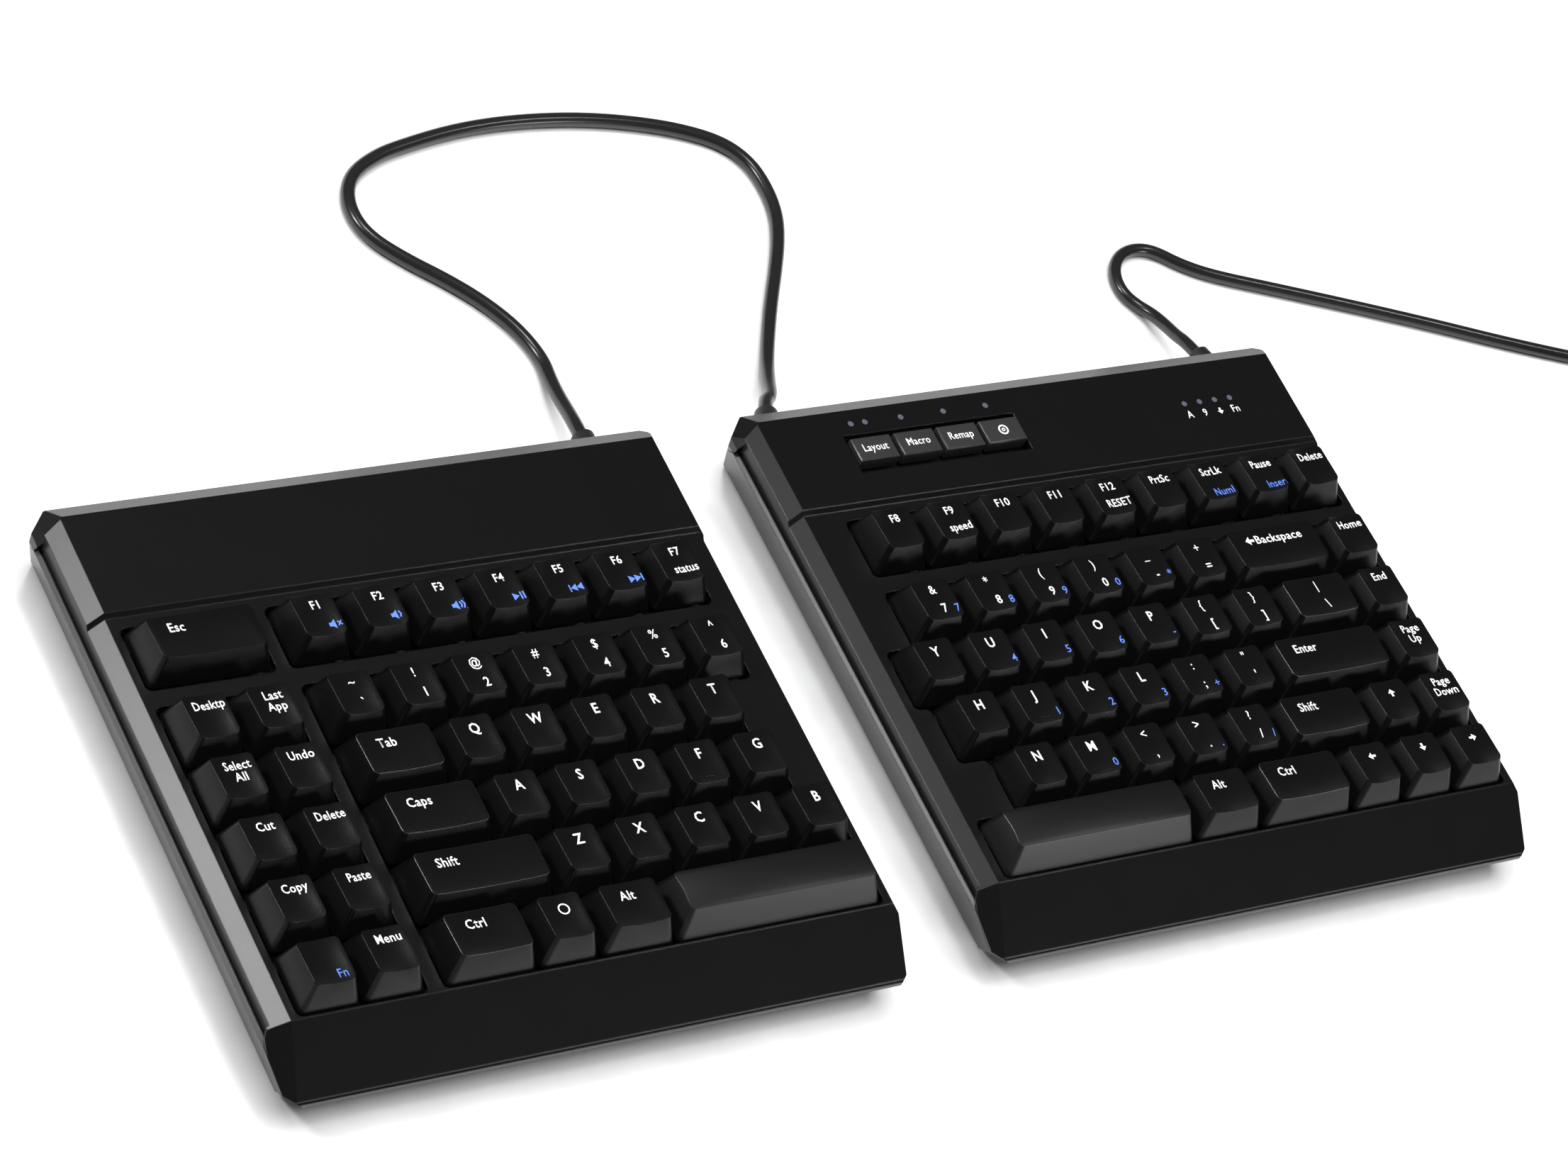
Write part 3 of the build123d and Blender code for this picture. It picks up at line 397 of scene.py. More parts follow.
# Rows of each bank: row from the front, start of its first key and widths of its keys, in key units
bank_rows = {
    "left_key_escape": ((function_row, 0, (2,)),),
    "left_keys_side_columns": tuple((row, 0, (1, 1)) for row in range(function_row)),
    "left_keys_function_row": ((function_row, 0, (1,) * 7),),
    "left_keys_number_row": ((4, 0, (1,) * 7),),
    "left_key_tab": ((3, 0, (1.5,)),),
    "left_keys_top_letters": ((3, 1.5, (1,) * 5),),
    "left_key_caps_lock": ((2, 0, (1.75,)),),
    "left_keys_home_letters": ((2, 1.75, (1,) * 5),),
    "left_key_shift": ((1, 0, (2.25,)),),
    "left_keys_bottom_letters": ((1, 2.25, (1,) * 5),),
    "left_key_control": ((0, 0, (1.5,)),),
    "left_key_system": ((0, 1.5, (1,)),),
    "left_key_alt": ((0, 2.5, (1.25,)),),
    "right_keys_function_row": ((function_row, 0, (1,) * 9),),
    "right_keys_number_row": ((4, 0, (1,) * 6),),
    "right_key_backspace": ((4, 6, (2,)),),
    "right_keys_navigation_column": tuple((row, 8, (1,)) for row in range(1, function_row)),
    "right_keys_top_letters": ((3, -0.5, (1,) * 7),),
    "right_key_backslash": ((3, 6.5, (1.5,)),),
    "right_keys_home_letters": ((2, -0.25, (1,) * 6),),
    "right_key_enter": ((2, 5.75, (2.25,)),),
    "right_keys_bottom_letters": ((1, 0.25, (1,) * 5),),
    "right_key_shift": ((1, 5.25, (1.75,)),),
    "right_key_up": ((1, 7, (1,)),),
    "right_key_alt": ((0, 3, (1.25,)),),
    "right_key_control": ((0, 4.25, (1.75,)),),
    "right_key_left": ((0, 6, (1,)),),
    "right_key_down": ((0, 7, (1,)),),
    "right_key_right": ((0, 8, (1,)),),
}
bank_starts = {"left_key_escape": escape_start, "left_keys_side_columns": side_start}

# Outlines of the small signs, in shares of a letter's height
sign_outlines = {
    "speaker": (((-0.5, -0.2), (-0.25, -0.2), (0.1, -0.5), (0.1, 0.5), (-0.25, 0.2), (-0.5, 0.2)),),
    "cross": (
        ((0.28, -0.2), (0.36, -0.28), (0.72, 0.2), (0.64, 0.28)),
        ((0.64, -0.28), (0.72, -0.2), (0.36, 0.28), (0.28, 0.2)),
    ),
    "wave_1": (((0.24, -0.3), (0.36, -0.36), (0.5, 0), (0.36, 0.36), (0.24, 0.3), (0.36, 0)),),
    "wave_2": (((0.48, -0.4), (0.6, -0.46), (0.78, 0), (0.6, 0.46), (0.48, 0.4), (0.64, 0)),),
    "wave_3": (((0.74, -0.5), (0.86, -0.56), (1.06, 0), (0.86, 0.56), (0.74, 0.5), (0.92, 0)),),
    "triangle_right": (((-0.4, -0.4), (0.2, 0), (-0.4, 0.4)),),
    "pause_bars": (
        ((0.3, -0.4), (0.44, -0.4), (0.44, 0.4), (0.3, 0.4)),
        ((0.58, -0.4), (0.72, -0.4), (0.72, 0.4), (0.58, 0.4)),
    ),
    "two_triangles": (
        ((-0.6, -0.4), (0, 0), (-0.6, 0.4)),
        ((0, -0.4), (0.6, 0), (0, 0.4)),
        ((0.62, -0.4), (0.74, -0.4), (0.74, 0.4), (0.62, 0.4)),
    ),
    "arrow": (((-0.15, -0.5), (0.15, -0.5), (0.15, 0), (0.5, 0), (0, 0.55), (-0.5, 0), (-0.15, 0)),),
}
sign_parts = {
    "mute": ("speaker", "cross"),
    "quieter": ("speaker", "wave_1"),
    "louder": ("speaker", "wave_1", "wave_2", "wave_3"),
    "play": ("triangle_right", "pause_bars"),
    "previous": ("two_triangles",),
    "next": ("two_triangles",),
}
sign_turns = {"previous": pi, "up": 0, "left": pi / 2, "down": pi, "right": -pi / 2}


class KeyboardSizes(PropertyGroup):
    """Sizes of the printed marks and of the softened edges."""

    letter_height: FloatProperty(
        name="Letter height",
        description="Height of a single capital on a keycap",
        default=0.0034,
        unit="LENGTH",
    )
    word_height: FloatProperty(
        name="Word height",
        description="Height of a capital in a word",
        default=0.0030,
        unit="LENGTH",
    )
    print_stand: FloatProperty(
        name="Ink height",
        description="How far the print stands off the plastic",
        default=0.00003,
        unit="LENGTH",
    )
    cap_rounding: FloatProperty(
        name="Cap rounding",
        description="Rounding of a keycap's upper edges",
        default=0.0005,
        unit="LENGTH",
    )
    button_rounding: FloatProperty(
        name="Button rounding",
        description="Rounding of a button's edges",
        default=0.0003,
        unit="LENGTH",
    )


class KeyboardColours(PropertyGroup):
    """Colours of the finishes."""

    case: FloatVectorProperty(
        name="Case",
        description="Dark moulded case",
        default=(0.0034, 0.0034, 0.0036),
        subtype="COLOR",
    )
    # Painted sheen: the left half's left bevel and ledge are the same dark plastic, and this lighter colour
    # stands in for their reflection of the lamps
    left_bevel_sheen: FloatVectorProperty(
        name="Left trim",
        description="Grey edge of the left half",
        default=(0.050, 0.050, 0.052),
        subtype="COLOR",
    )
    # Painted sheen, weaker: this lighter colour stands in for the lamps' reflection on the right half's
    # left-leaning bevel
    right_bevel_sheen: FloatVectorProperty(
        name="Right trim",
        description="Grey edge of the right half",
        default=(0.014, 0.014, 0.015),
        subtype="COLOR",
    )
    keycap: FloatVectorProperty(
        name="Keycap",
        description="Black of the keycaps",
        default=(0.0030, 0.0030, 0.0032),
        subtype="COLOR",
    )
    legend: FloatVectorProperty(
        name="Legend",
        description="White print",
        default=(0.86, 0.86, 0.86),
        subtype="COLOR",
    )
    second_legend: FloatVectorProperty(
        name="Second legend",
        description="Blue print",
        default=(0.10, 0.21, 0.72),
        subtype="COLOR",
    )
    light: FloatVectorProperty(
        name="Light",
        description="Unlit indicator light",
        default=(0.085, 0.085, 0.115),
        subtype="COLOR",
    )
    desk: FloatVectorProperty(
        name="Desk",
        description="Pale floor of the studio",
        default=(0.86, 0.86, 0.86),
        subtype="COLOR",
    )


def sizes():
    """The sizes that a user may change."""
    return bpy.context.scene.keyboard_sizes


def colours():
    """The colours that a user may change."""
    return bpy.context.scene.keyboard_colours


def opaque(colour):
    """A colour with full cover."""
    return (*colour, 1)


def node_with(tree, kind, **values):
    """A new shader node with its named inputs set."""
    node = tree.nodes.new(kind)
    for name, value in values.items():
        node.inputs[name.replace("_", " ")].default_value = value
    return node


def math_step(tree, operation, first, second):
    """Works on a linked value with a number or with another linked value. Returns the result's socket."""
    step = tree.nodes.new("ShaderNodeMath")
    step.operation = operation
    tree.links.new(first, step.inputs[0])
    if isinstance(second, float):
        step.inputs[1].default_value = second
    else:
        tree.links.new(second, step.inputs[1])
    return step.outputs["Value"]


def colour_mix(tree, share):
    """A mix of two colours by a linked share. Returns the sockets of both colours and of the mixed one."""
    mix = tree.nodes.new("ShaderNodeMix")
    mix.data_type = "RGBA"
    tree.links.new(share, mix.inputs["Factor"])
    first, second = [socket for socket in mix.inputs if socket.type == "RGBA"]
    return first, second, next(socket for socket in mix.outputs if socket.type == "RGBA")


def surface(name, roughness, metallic=0.0, edge=0.0, grain=0.0, grain_size=0.0004, unevenness=0.06):
    """A moulded surface: a fine grain and an uneven sheen from noise in object space, with its edges rounded.

    Returns the material, its shader, and the socket of a slow noise for colour changes.
    """
    material = bpy.data.materials.new(name)
    material.use_nodes = True
    tree = material.node_tree
    shader = tree.nodes["Principled BSDF"]
    shader.inputs["Metallic"].default_value = metallic
    place = tree.nodes.new("ShaderNodeTexCoord")
    slow = node_with(tree, "ShaderNodeTexNoise", Scale=slow_noise_scale, Detail=slow_noise_detail)
    fine = node_with(tree, "ShaderNodeTexNoise", Scale=1 / grain_size, Detail=fine_noise_detail)
    for noise in (slow, fine):
        tree.links.new(place.outputs["Object"], noise.inputs["Vector"])
    both = math_step(tree, "ADD", slow.outputs["Fac"], fine.outputs["Fac"])
    sheen = node_with(
        tree, "ShaderNodeMapRange", From_Max=2, To_Min=roughness - unevenness, To_Max=roughness + unevenness
    )
    tree.links.new(both, sheen.inputs["Value"])
    tree.links.new(sheen.outputs["Result"], shader.inputs["Roughness"])
    bump = node_with(tree, "ShaderNodeBump", Strength=grain, Distance=grain_height)
    tree.links.new(fine.outputs["Fac"], bump.inputs["Height"])
    if edge:
        rounded = node_with(tree, "ShaderNodeBevel", Radius=edge)
        rounded.samples = soft_edge_samples
        tree.links.new(rounded.outputs["Normal"], bump.inputs["Normal"])
    tree.links.new(bump.outputs["Normal"], shader.inputs["Normal"])
    return material, shader, slow.outputs["Fac"]


def two_tone(tree, pigment, colour):
    """A colour that wanders a little to both sides, as pigment does. Returns its socket."""
    first, second, mixed = colour_mix(tree, pigment)
    first.default_value = opaque(channel * (1 - pigment_spread) for channel in colour)
    second.default_value = opaque(channel * (1 + pigment_spread) for channel in colour)
    return mixed


def either_colour(tree, choice, first_colour, second_colour):
    """The first colour where the choice is 0 and the second where it is 1. Returns the result's socket."""
    first, second, chosen = colour_mix(tree, choice)
    tree.links.new(first_colour, first)
    tree.links.new(second_colour, second)
    return chosen


def finish_of(name):
    """Material of one finish with its pigment's slight changes, made when it is first asked for."""
    found = bpy.data.materials.get(name)
    if found:
        return found
    values = dict(finishes[name])
    colour = values.pop("colour")
    specular = values.pop("specular", plain_specular)
    if isinstance(colour, str):
        colour = getattr(colours(), colour)
    material, shader, pigment = surface(name, **values)
    tree = material.node_tree
    tree.links.new(two_tone(tree, pigment, colour), shader.inputs["Base Color"])
    shader.inputs["Specular IOR Level"].default_value = specular
    return material


def case_finish(name, painted_sheen):
    """Dark moulded case with a painted sheen: faces of its left bevel and ledge, which lean a little to the
    left and look up, get a lighter colour that stands in for their reflection of the lamps.
    """
    material, shader, pigment = surface(name, **case_surface)
    tree = material.node_tree
    dark = two_tone(tree, pigment, colours().case)
    # Painted sheen: the lighter colour of faces that lean left and look up
    light = two_tone(tree, pigment, painted_sheen)
    facing = tree.nodes.new("ShaderNodeNewGeometry")
    split = tree.nodes.new("ShaderNodeSeparateXYZ")
    tree.links.new(facing.outputs["True Normal"], split.inputs["Vector"])
    leaning = math_step(tree, "LESS_THAN", split.outputs["X"], sheen_lean)
    upward = math_step(tree, "GREATER_THAN", split.outputs["Z"], sheen_rise)
    sheen_share = math_step(tree, "MULTIPLY", leaning, upward)
    tree.links.new(either_colour(tree, sheen_share, dark, light), shader.inputs["Base Color"])
    return material


def plug_finish():
    """Black grip and bright metal shell of the plug, told apart by how far along the plug they are."""
    material, shader, pigment = surface("plug_grip_and_shell", **plug_surface)
    tree = material.node_tree
    way, end = plug_way()
    place = tree.nodes.new("ShaderNodeTexCoord")
    along = tree.nodes.new("ShaderNodeVectorMath")
    along.operation = "DOT_PRODUCT"
    along.inputs[1].default_value = way
    tree.links.new(place.outputs["Object"], along.inputs[0])
    shell = math_step(tree, "GREATER_THAN", along.outputs["Value"], end.dot(way) + plug_shell_start)
    dark = two_tone(tree, pigment, plug_black)
    bright = two_tone(tree, pigment, plug_metal)
    tree.links.new(either_colour(tree, shell, dark, bright), shader.inputs["Base Color"])
    tree.links.new(shell, shader.inputs["Metallic"])
    return material


def wear(piece, *materials):
    """Gives a piece these materials in place of any that it has."""
    piece.data.materials.clear()
    for material in materials:
        piece.data.materials.append(material)


def choose(*pieces):
    """Selects these pieces alone and makes the last one active."""
    bpy.ops.object.select_all(action="DESELECT")
    for piece in pieces:
        piece.select_set(True)
    bpy.context.view_layer.objects.active = pieces[-1]


def place_in_mesh():
    """Moves the place, turn and size of what is selected into its mesh."""
    bpy.ops.object.transform_apply(location=True, rotation=True, scale=True)


def joined_copy(node, name):
    """A copy of a CAD node with its loose triangles joined into whole faces."""
    piece = bpy.data.objects.new(name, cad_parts[node].data.copy())
    bpy.context.scene.collection.objects.link(piece)
    choose(piece)
    bpy.ops.object.mode_set(mode="EDIT")
    bpy.ops.mesh.select_all(action="SELECT")
    bpy.ops.mesh.remove_doubles(threshold=join_distance)
    bpy.ops.mesh.dissolve_limited(angle_limit=flat_angle)
    bpy.ops.object.mode_set(mode="OBJECT")
    return piece


def round_edges(piece, low, width):
    """Rounds the sharp edges of a piece that lie wholly above a level.

    The rounded edges take the piece's second material, whose lighter colour paints a highlight along them.
    """
    choose(piece)
    bpy.ops.object.mode_set(mode="EDIT")
    bpy.ops.mesh.select_mode(type="EDGE")
    bpy.ops.mesh.select_all(action="DESELECT")
    shape = bmesh.from_edit_mesh(piece.data)
    for edge in shape.edges:
        high = min(vertex.co.z for vertex in edge.verts) > low
        sharp = edge.is_manifold and edge.calc_face_angle(0) > sharp_angle
        edge.select_set(high and sharp)
    bmesh.update_edit_mesh(piece.data)
    bpy.ops.mesh.bevel(offset=width, segments=edge_segments, affect="EDGES", clamp_overlap=True, material=1)
    bpy.ops.object.mode_set(mode="OBJECT")
    bpy.ops.object.shade_smooth_by_angle(angle=smooth_angle)


def softened_copy(node, name, finish, low, width):
    """A node's shape with its edges above a level rounded and glossier, with a lighter colour painted on them
    as a highlight, in the node's place.
    """
    piece = joined_copy(node, name)
    wear(piece, finish_of(finish), finish_of("polished_edge"))
    round_edges(piece, low, width)
    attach(piece, node)
    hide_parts(node)
    return piece


def cap_cells(bank):
    """Left edge, front edge and width of each key of a bank, in the keyboard's frame."""
    start = bank_starts.get(bank, main_start)
    shift = -middle_x
    if bank.startswith("right"):
        start = right_main_start
        shift = half_pitch - middle_x
    cells = []
    for row, first, widths in bank_rows[bank]:
        across = start + shift + first * key_unit
        front = row * key_unit - middle_y + (function_gap if row == function_row else 0)
        for width in widths:
            cells.append((across, front, width * key_unit))
            across += width * key_unit
    return cells


def lettering(text, x, y, height, material, align="CENTER", squeeze=word_squeeze, weight=word_weight):
    """One line of bold, slightly narrow lettering on the level of the print's start."""
    bpy.ops.object.text_add(location=(x, y, print_start))
    line = bpy.context.object
    line.data.body = text
    line.data.size = height / capital_share
    line.data.offset = weight * height
    line.data.space_character = letter_spacing
    line.data.align_x = align
    line.data.resolution_u = letter_fineness
    line.data.fill_mode = "FRONT"
    line.scale = (squeeze, 1, 1)
    line.data.materials.append(material)
    return line


def sign(name, x, y, height, material, turn=0.0):
    """A small sign from its outlines, as flat filled shapes."""
    outlines = [outline for part in sign_parts.get(name, (name,)) for outline in sign_outlines[part]]
    drawing = bpy.data.curves.new("sign", "CURVE")
    drawing.dimensions = "2D"
    drawing.fill_mode = "FRONT"
    for outline in outlines:
        stroke = drawing.splines.new("POLY")
        stroke.points.add(len(outline) - 1)
        for point, (across, up) in zip(stroke.points, outline):
            point.co = (across * height, up * height, 0, 1)
        stroke.use_cyclic_u = True
    piece = bpy.data.objects.new("sign", drawing)
    bpy.context.scene.collection.objects.link(piece)
    piece.location = (x, y, print_start)
    piece.rotation_euler = (0, 0, turn)
    drawing.materials.append(material)
    return piece


def ring(x, y, radius, thickness, material):
    """A flat printed ring."""
    bpy.ops.mesh.primitive_circle_add(
        vertices=ring_sides,
        radius=radius,
        fill_type="NGON",
        location=(x, y, print_start),
        enter_editmode=True,
    )
    bpy.ops.mesh.select_all(action="SELECT")
    bpy.ops.mesh.inset(thickness=thickness, depth=0)
    bpy.ops.mesh.delete(type="FACE")
    bpy.ops.object.mode_set(mode="OBJECT")
    piece = bpy.context.object
    piece.data.materials.append(material)
    return piece


def key_marks(words, blue, cell):
    """Every printed mark of one key."""
    left, front, width = cell
    middle = left + width / 2
    white_ink = finish_of("white_print")
    blue_ink = finish_of("blue_print")
    big = sizes().letter_height
    small = sizes().word_height

    def at(place, start=middle):
        return start + place[0], front + place[1]

    marks = []
    lines = words.split("\n") if words else []
    if words in sign_turns:
        marks.append(sign("arrow", *at(arrow_place), small * key_arrow_share, white_ink, sign_turns[words]))
    elif words == "ring":
        marks.append(ring(*at(ring_place), ring_radius, ring_width, white_ink))
    elif words == "Backspace":
        marks.append(sign("arrow", *at(backspace_arrow_place, left), small, white_ink, pi / 2))
        place = at(backspace_word_place, left)
        marks.append(lettering(words, *place, small, white_ink, align="LEFT", squeeze=backspace_squeeze))
    elif len(lines) == 1 and len(words) == 1:
        marks.append(lettering(words, *at(letter_place), big, white_ink, weight=letter_weight))
    elif len(lines) == 2 and len(lines[0]) == 1:
        height = small * two_sign_share
        marks.append(lettering(lines[0], *at(upper_sign_place), height, white_ink, weight=thin_weight))
        marks.append(lettering(lines[1], *at(lower_sign_place), height, white_ink))
    elif lines and width > wide_key_units * key_unit:
        place = at(wide_word_place, left)
        marks.append(lettering(words, *place, small, white_ink, align="LEFT", squeeze=wide_key_squeeze))
    elif lines:
        function_key = lines[0][0] == "F"
        drop = function_word_drop if function_key else second_word_drop
        for i, line in enumerate(lines):
            x, y = at(word_place)
            x += i * second_word_shift if function_key else 0
            squeeze = word_squeeze if len(line) < long_word_letters else long_word_squeeze
            height = small * narrow_word_share
            marks.append(lettering(line, x, y - i * drop, height, white_ink, squeeze=squeeze))
    if blue in sign_parts:
        marks.append(sign(blue, *at(blue_sign_place), small, blue_ink, sign_turns.get(blue, 0)))
    elif blue:
        place = at(blue_letter_place if len(blue) == 1 else blue_word_place)
        height = small * blue_share
        marks.append(
            lettering(blue, *place, height, blue_ink, squeeze=long_word_squeeze, weight=thin_weight)
        )
    return marks


def homing_bar(cell):
    """The small raised bar near the front of a homing key."""
    left, front, width = cell
    rise, level = homing_bar_place
    middle = (left + width / 2, front + rise, level)
    bpy.ops.mesh.primitive_cube_add(size=1, location=middle, scale=homing_bar_size)
    place_in_mesh()
    bpy.ops.object.mode_set(mode="EDIT")
    bpy.ops.mesh.select_all(action="SELECT")
    bpy.ops.mesh.bevel(offset=homing_bar_rounding, segments=edge_segments, affect="EDGES")
    bpy.ops.object.mode_set(mode="OBJECT")
    return bpy.context.object


def print_on(marks, name, under, body):
    """Joins marks into one thin layer of ink that lies on the piece under it."""
    choose(*marks)
    bpy.ops.object.convert(target="MESH")
    place_in_mesh()
    bpy.ops.object.join()
    layer = bpy.context.object
    layer.name = name
    layer.data.name = name
    drape = layer.modifiers.new("drape", "SHRINKWRAP")
    drape.target = under
    drape.wrap_method = "PROJECT"
    drape.use_project_z = True
    drape.use_positive_direction = False
    drape.use_negative_direction = True
    drape.offset = sizes().print_stand
    bpy.ops.object.modifier_apply(modifier=drape.name)
    film = layer.modifiers.new("film", "SOLIDIFY")
    film.thickness = sizes().print_stand * 2
    film.offset = 0
    bpy.ops.object.modifier_apply(modifier=film.name)
    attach(layer, body)
    return layer


def softened_caps(node, finish):
    """The keycaps of one node with softened upper edges."""
    return softened_copy(node, node + "_caps", finish, cap_edge_level, sizes().cap_rounding)


def plug_way():
    """Way that the tail of the coil takes to the plug, and where it ends."""
    angle = coil_start_angle - 2 * pi * coil_turns
    way = Vector((sin(angle), -cos(angle), 0))
    last_turns = coil_turns - (coil_layers - 1) * coil_layer_turns
    radius = coil_radius - coil_layer_turns * coil_pitch + last_turns * coil_pitch
    leave = Vector((coil_middle[0] + radius * cos(angle), coil_middle[1] + radius * sin(angle), 0))
    end = leave + way * tail_end_reach
    return way, Vector((end.x, end.y, plug_centre_height))


def coil_points():
    """Points round the coil, in layers that wind in and out by turns, and down its tail."""
    points = []
    inner = coil_radius - coil_layer_turns * coil_pitch
    spread = 1 / cos(pi / coil_points_a_turn)
    for i in range(1, round(coil_turns * coil_points_a_turn) + 1):
        turn = i / coil_points_a_turn
        layer = min(int(turn / coil_layer_turns), coil_layers - 1)
        along = turn - layer * coil_layer_turns
        radius = coil_radius - along * coil_pitch if layer % 2 == 0 else inner + along * coil_pitch
        nearest = round(turn / coil_layer_turns)
        away = turn - nearest * coil_layer_turns
        height = layer * coil_pitch
        if abs(away) < coil_layer_change and 0 < nearest < coil_layers:
            height = (nearest - 1 / 2 + away / (2 * coil_layer_change)) * coil_pitch
        angle = coil_start_angle - 2 * pi * turn
        x = coil_middle[0] + radius * spread * cos(angle)
        y = coil_middle[1] + radius * spread * sin(angle)
        points.append((x, y, usb_cord_diameter / 2 + height))
    way, end = plug_way()
    for reach, height in tail_points:
        place = end + way * (reach - tail_end_reach)
        points.append((place.x, place.y, height))
    points.append(tuple(end))
    return points


def cord_line(name, points, diameter):
    """One open spline with the route's points as its control points. Returns the tube and its centre line."""
    line = bpy.data.curves.new(name, "CURVE")
    line.dimensions = "3D"
    line.resolution_u = cord_fineness_along
    spline = line.splines.new("NURBS")
    spline.points.add(len(points) - 1)
    for point, place in zip(spline.points, points):
        point.co = (*place, 1)
    spline.order_u = cord_curve_order
    spline.use_endpoint_u = True
    piece = bpy.data.objects.new(name, line)
    bpy.context.scene.collection.objects.link(piece)
    bpy.context.view_layer.update()
    centre = bpy.data.meshes.new_from_object(piece)
    path = [tuple(vertex.co) for vertex in centre.vertices]
    line.bevel_depth = diameter / 2
    line.bevel_resolution = cord_fineness_round
    line.use_fill_caps = True
    return piece, path


class KEYBOARD_OT_cords(Operator):
    """Lay the cord between the halves and the cord to the computer"""

    bl_idname = "keyboard.cords"
    bl_label = "Cords"

    def execute(self, context):
        link, path = cord_line("link_cord_tube", link_cord_route, link_cord_diameter)
        choose(link)
        bpy.ops.object.convert(target="MESH")
        bpy.ops.object.shade_smooth()
        wear(link, finish_of("cord_jacket"))
        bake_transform(link)
        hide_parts("link_cord")
        usb, _ = cord_line("usb_cord_tube", [*usb_cord_route, *coil_points()], usb_cord_diameter)
        wear(usb, finish_of("cord_jacket"))
        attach(usb, "right_module")
        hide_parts("usb_cord", "usb_cord_coil")
        return {"FINISHED"}


class KEYBOARD_OT_cases(Operator):
    """Finish the cases and everything in them that keeps its solid shape"""

    bl_idname = "keyboard.cases"
    bl_label = "Cases and inner parts"

    def execute(self, context):
        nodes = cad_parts
        bevel_sheens = {"left": colours().left_bevel_sheen, "right": colours().right_bevel_sheen}
        # Each case's material paints a sheen on its left-leaning bevel and ledge
        for side, painted_sheen in bevel_sheens.items():
            finish = case_finish(side + "_case_plastic", painted_sheen)
            wear(nodes[side + "_top_case"], finish)
            wear(nodes[side + "_bottom_case"], finish)
            for part, name in inner_finishes.items():
                wear(nodes[side + "_" + part], finish_of(name))
        for node, name in right_finishes.items():
            wear(nodes[node], finish_of(name))
        wear(nodes["usb_plug"], plug_finish())
        return {"FINISHED"}


class KEYBOARD_OT_keycaps(Operator):
    """Shape the keycaps and print their legends"""

    bl_idname = "keyboard.keycaps"
    bl_label = "Keycaps and legends"

    def execute(self, context):
        for node in bare_keys:
            softened_caps(node, "spacebar_plastic")
        for node, keys in key_prints.items():
            caps = softened_caps(node, "keycap_plastic")
            marks = []
            for (words, blue), cell in zip(keys, cap_cells(node), strict=True):
                marks += key_marks(words, blue, cell)
                if words in homing_letters:
                    bar = homing_bar(cell)
                    bar.name = node + "_homing_bar"
                    wear(bar, finish_of("keycap_plastic"))
                    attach(bar, node)
            print_on(marks, node + "_legends", caps, node)
        return {"FINISHED"}


class KEYBOARD_OT_buttons(Operator):
    """Shape the four programming buttons and print the words on them and by the lights"""

    bl_idname = "keyboard.buttons"
    bl_label = "Buttons and panel print"

    def execute(self, context):
        ink = finish_of("white_print")
        small = sizes().word_height
        for node, word in button_words.items():
            cap = softened_copy(
                node,
                node + "_cap",
                "button_plastic",
                button_edge_level,
                sizes().button_rounding,
            )
            low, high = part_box(node)
            x, y = (low.x + high.x) / 2, (low.y + high.y) / 2
            if word:
                height = small * button_word_share
                marks = [lettering(word, x, y - button_word_drop, height, ink, weight=thin_weight)]
            else:
                marks = [
                    ring(x, y, button_ring_radius, button_ring_width, ink),
                    ring(x, y, button_dot_radius, button_dot_width, ink),
                ]
            print_on(marks, node + "_legend", cap, node)
        last_word_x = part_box("right_light_pipes")[1].x - panel_last_inset
        signs = []
        for i, word in enumerate(reversed(panel_words)):
            x = last_word_x - i * panel_word_pitch
            if word in sign_turns:
                y = panel_words_y + panel_arrow_rise
                signs.append(sign("arrow", x, y, small * panel_arrow_share, ink, sign_turns[word]))
            else:
                height = small * panel_word_share
                signs.append(lettering(word, x, panel_words_y, height, ink, weight=thin_weight))
        print_on(signs, "right_panel_print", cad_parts["right_top_case"], "right_module")
        return {"FINISHED"}


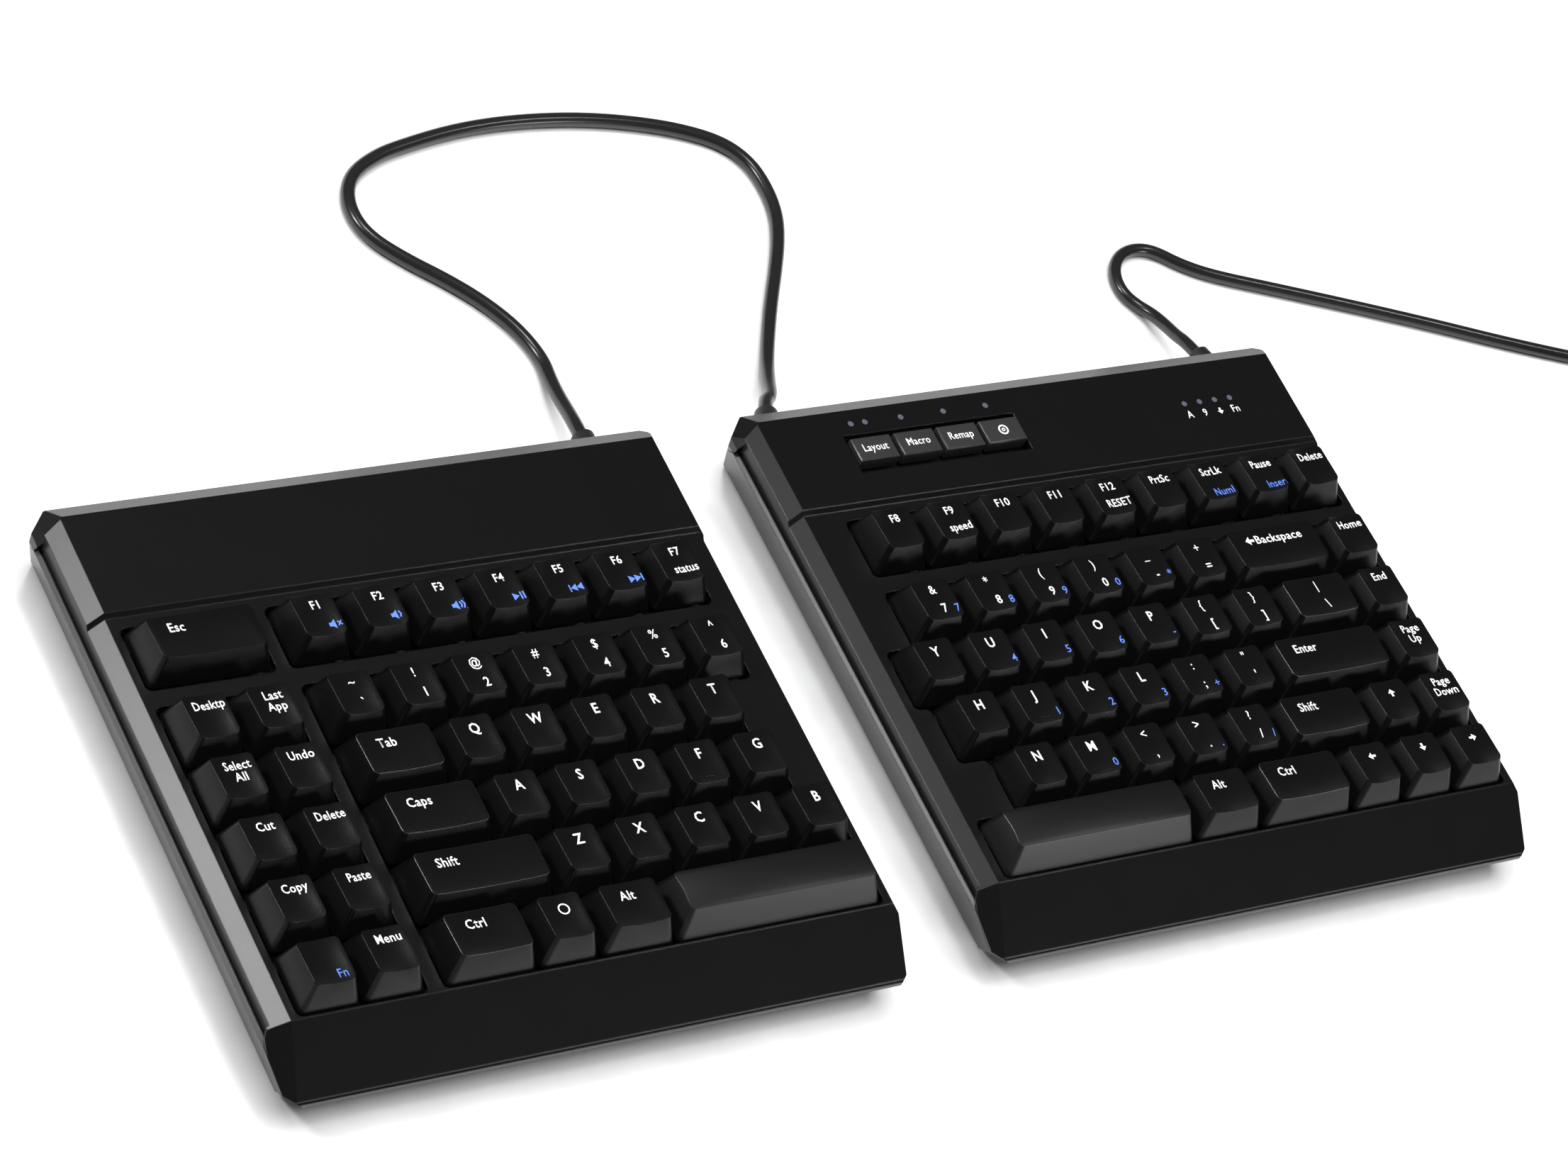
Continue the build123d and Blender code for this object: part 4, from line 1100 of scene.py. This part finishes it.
class KEYBOARD_OT_stage(Operator):
    """Set up the pale floor, the soft lights and the photograph's camera"""

    bl_idname = "keyboard.stage"
    bl_label = "Studio"

    def execute(self, context):
        scene = context.scene
        scene.view_settings.view_transform = "Standard"
        bpy.ops.object.select_all(action="DESELECT")
        bpy.ops.mesh.primitive_plane_add(size=floor_size, location=(0, 0, floor_level))
        floor = context.object
        floor.name = "studio_floor"
        place_in_mesh()
        wear(floor, finish_of("studio_paper"))
        world = bpy.data.worlds.new("studio_air")
        scene.world = world
        world.use_nodes = True
        tree = world.node_tree
        dim = tree.nodes["Background"]
        dim.inputs["Color"].default_value = opaque(air_tint)
        dim.inputs["Strength"].default_value = air_strength
        pale = node_with(tree, "ShaderNodeBackground", Color=opaque(backdrop), Strength=1)
        seen = tree.nodes.new("ShaderNodeLightPath")
        pick = tree.nodes.new("ShaderNodeMixShader")
        tree.links.new(seen.outputs["Is Camera Ray"], pick.inputs["Fac"])
        tree.links.new(dim.outputs["Background"], pick.inputs[1])
        tree.links.new(pale.outputs["Background"], pick.inputs[2])
        tree.links.new(pick.outputs["Shader"], tree.nodes["World Output"].inputs["Surface"])
        for light in lights:
            soft_light(*light)
        eye = bpy.data.cameras.new("photo_camera")
        eye.lens = camera_lens
        eye.sensor_width = camera_sensor
        camera = bpy.data.objects.new("photo_camera", eye)
        scene.collection.objects.link(camera)
        way = Vector(camera_target) - Vector(camera_place)
        turn = way.to_track_quat("-Z", "Y").to_matrix().to_4x4()
        camera.matrix_world = Matrix.Translation(camera_place) @ turn @ Matrix.Rotation(camera_roll, 4, "Z")
        scene.camera = camera
        return {"FINISHED"}


def soft_light(name, place, size, power, seen_in_gloss):
    """A square soft light that faces the middle of the keyboard."""
    lamp = bpy.data.lights.new(name, "AREA")
    lamp.size = size
    lamp.energy = power
    light = bpy.data.objects.new(name, lamp)
    bpy.context.scene.collection.objects.link(light)
    light.location = place
    light.rotation_euler = (-Vector(place)).to_track_quat("-Z", "Y").to_euler()
    light.visible_glossy = seen_in_gloss
    return light


class KEYBOARD_PT_panel(Panel):
    """Buttons that build the keyboard piece by piece"""

    bl_label = "Split keyboard"
    bl_idname = "KEYBOARD_PT_panel"
    bl_space_type = "VIEW_3D"
    bl_region_type = "UI"
    bl_category = "Keyboard"

    def draw(self, context):
        for operator in operators:
            self.layout.operator(operator.bl_idname)
        for group in (context.scene.keyboard_sizes, context.scene.keyboard_colours):
            for name in group.bl_rna.properties.keys():
                if name not in ("rna_type", "name"):
                    self.layout.prop(group, name)


operators = (
    KEYBOARD_OT_stage,
    KEYBOARD_OT_cords,
    KEYBOARD_OT_cases,
    KEYBOARD_OT_keycaps,
    KEYBOARD_OT_buttons,
)
classes = (KeyboardSizes, KeyboardColours, *operators, KEYBOARD_PT_panel)


def register():
    """Adds the classes and the settings of the scene."""
    for item in classes:
        bpy.utils.register_class(item)
    bpy.types.Scene.keyboard_sizes = PointerProperty(type=KeyboardSizes)
    bpy.types.Scene.keyboard_colours = PointerProperty(type=KeyboardColours)


def unregister():
    """Takes the settings and the classes away again."""
    del bpy.types.Scene.keyboard_colours
    del bpy.types.Scene.keyboard_sizes
    for item in reversed(classes):
        bpy.utils.unregister_class(item)


def main():
    """Builds every piece in order."""
    register()
    for operator in operators:
        group, name = operator.bl_idname.split(".")
        getattr(getattr(bpy.ops, group), name)()


if __name__ == "__main__":
    main()
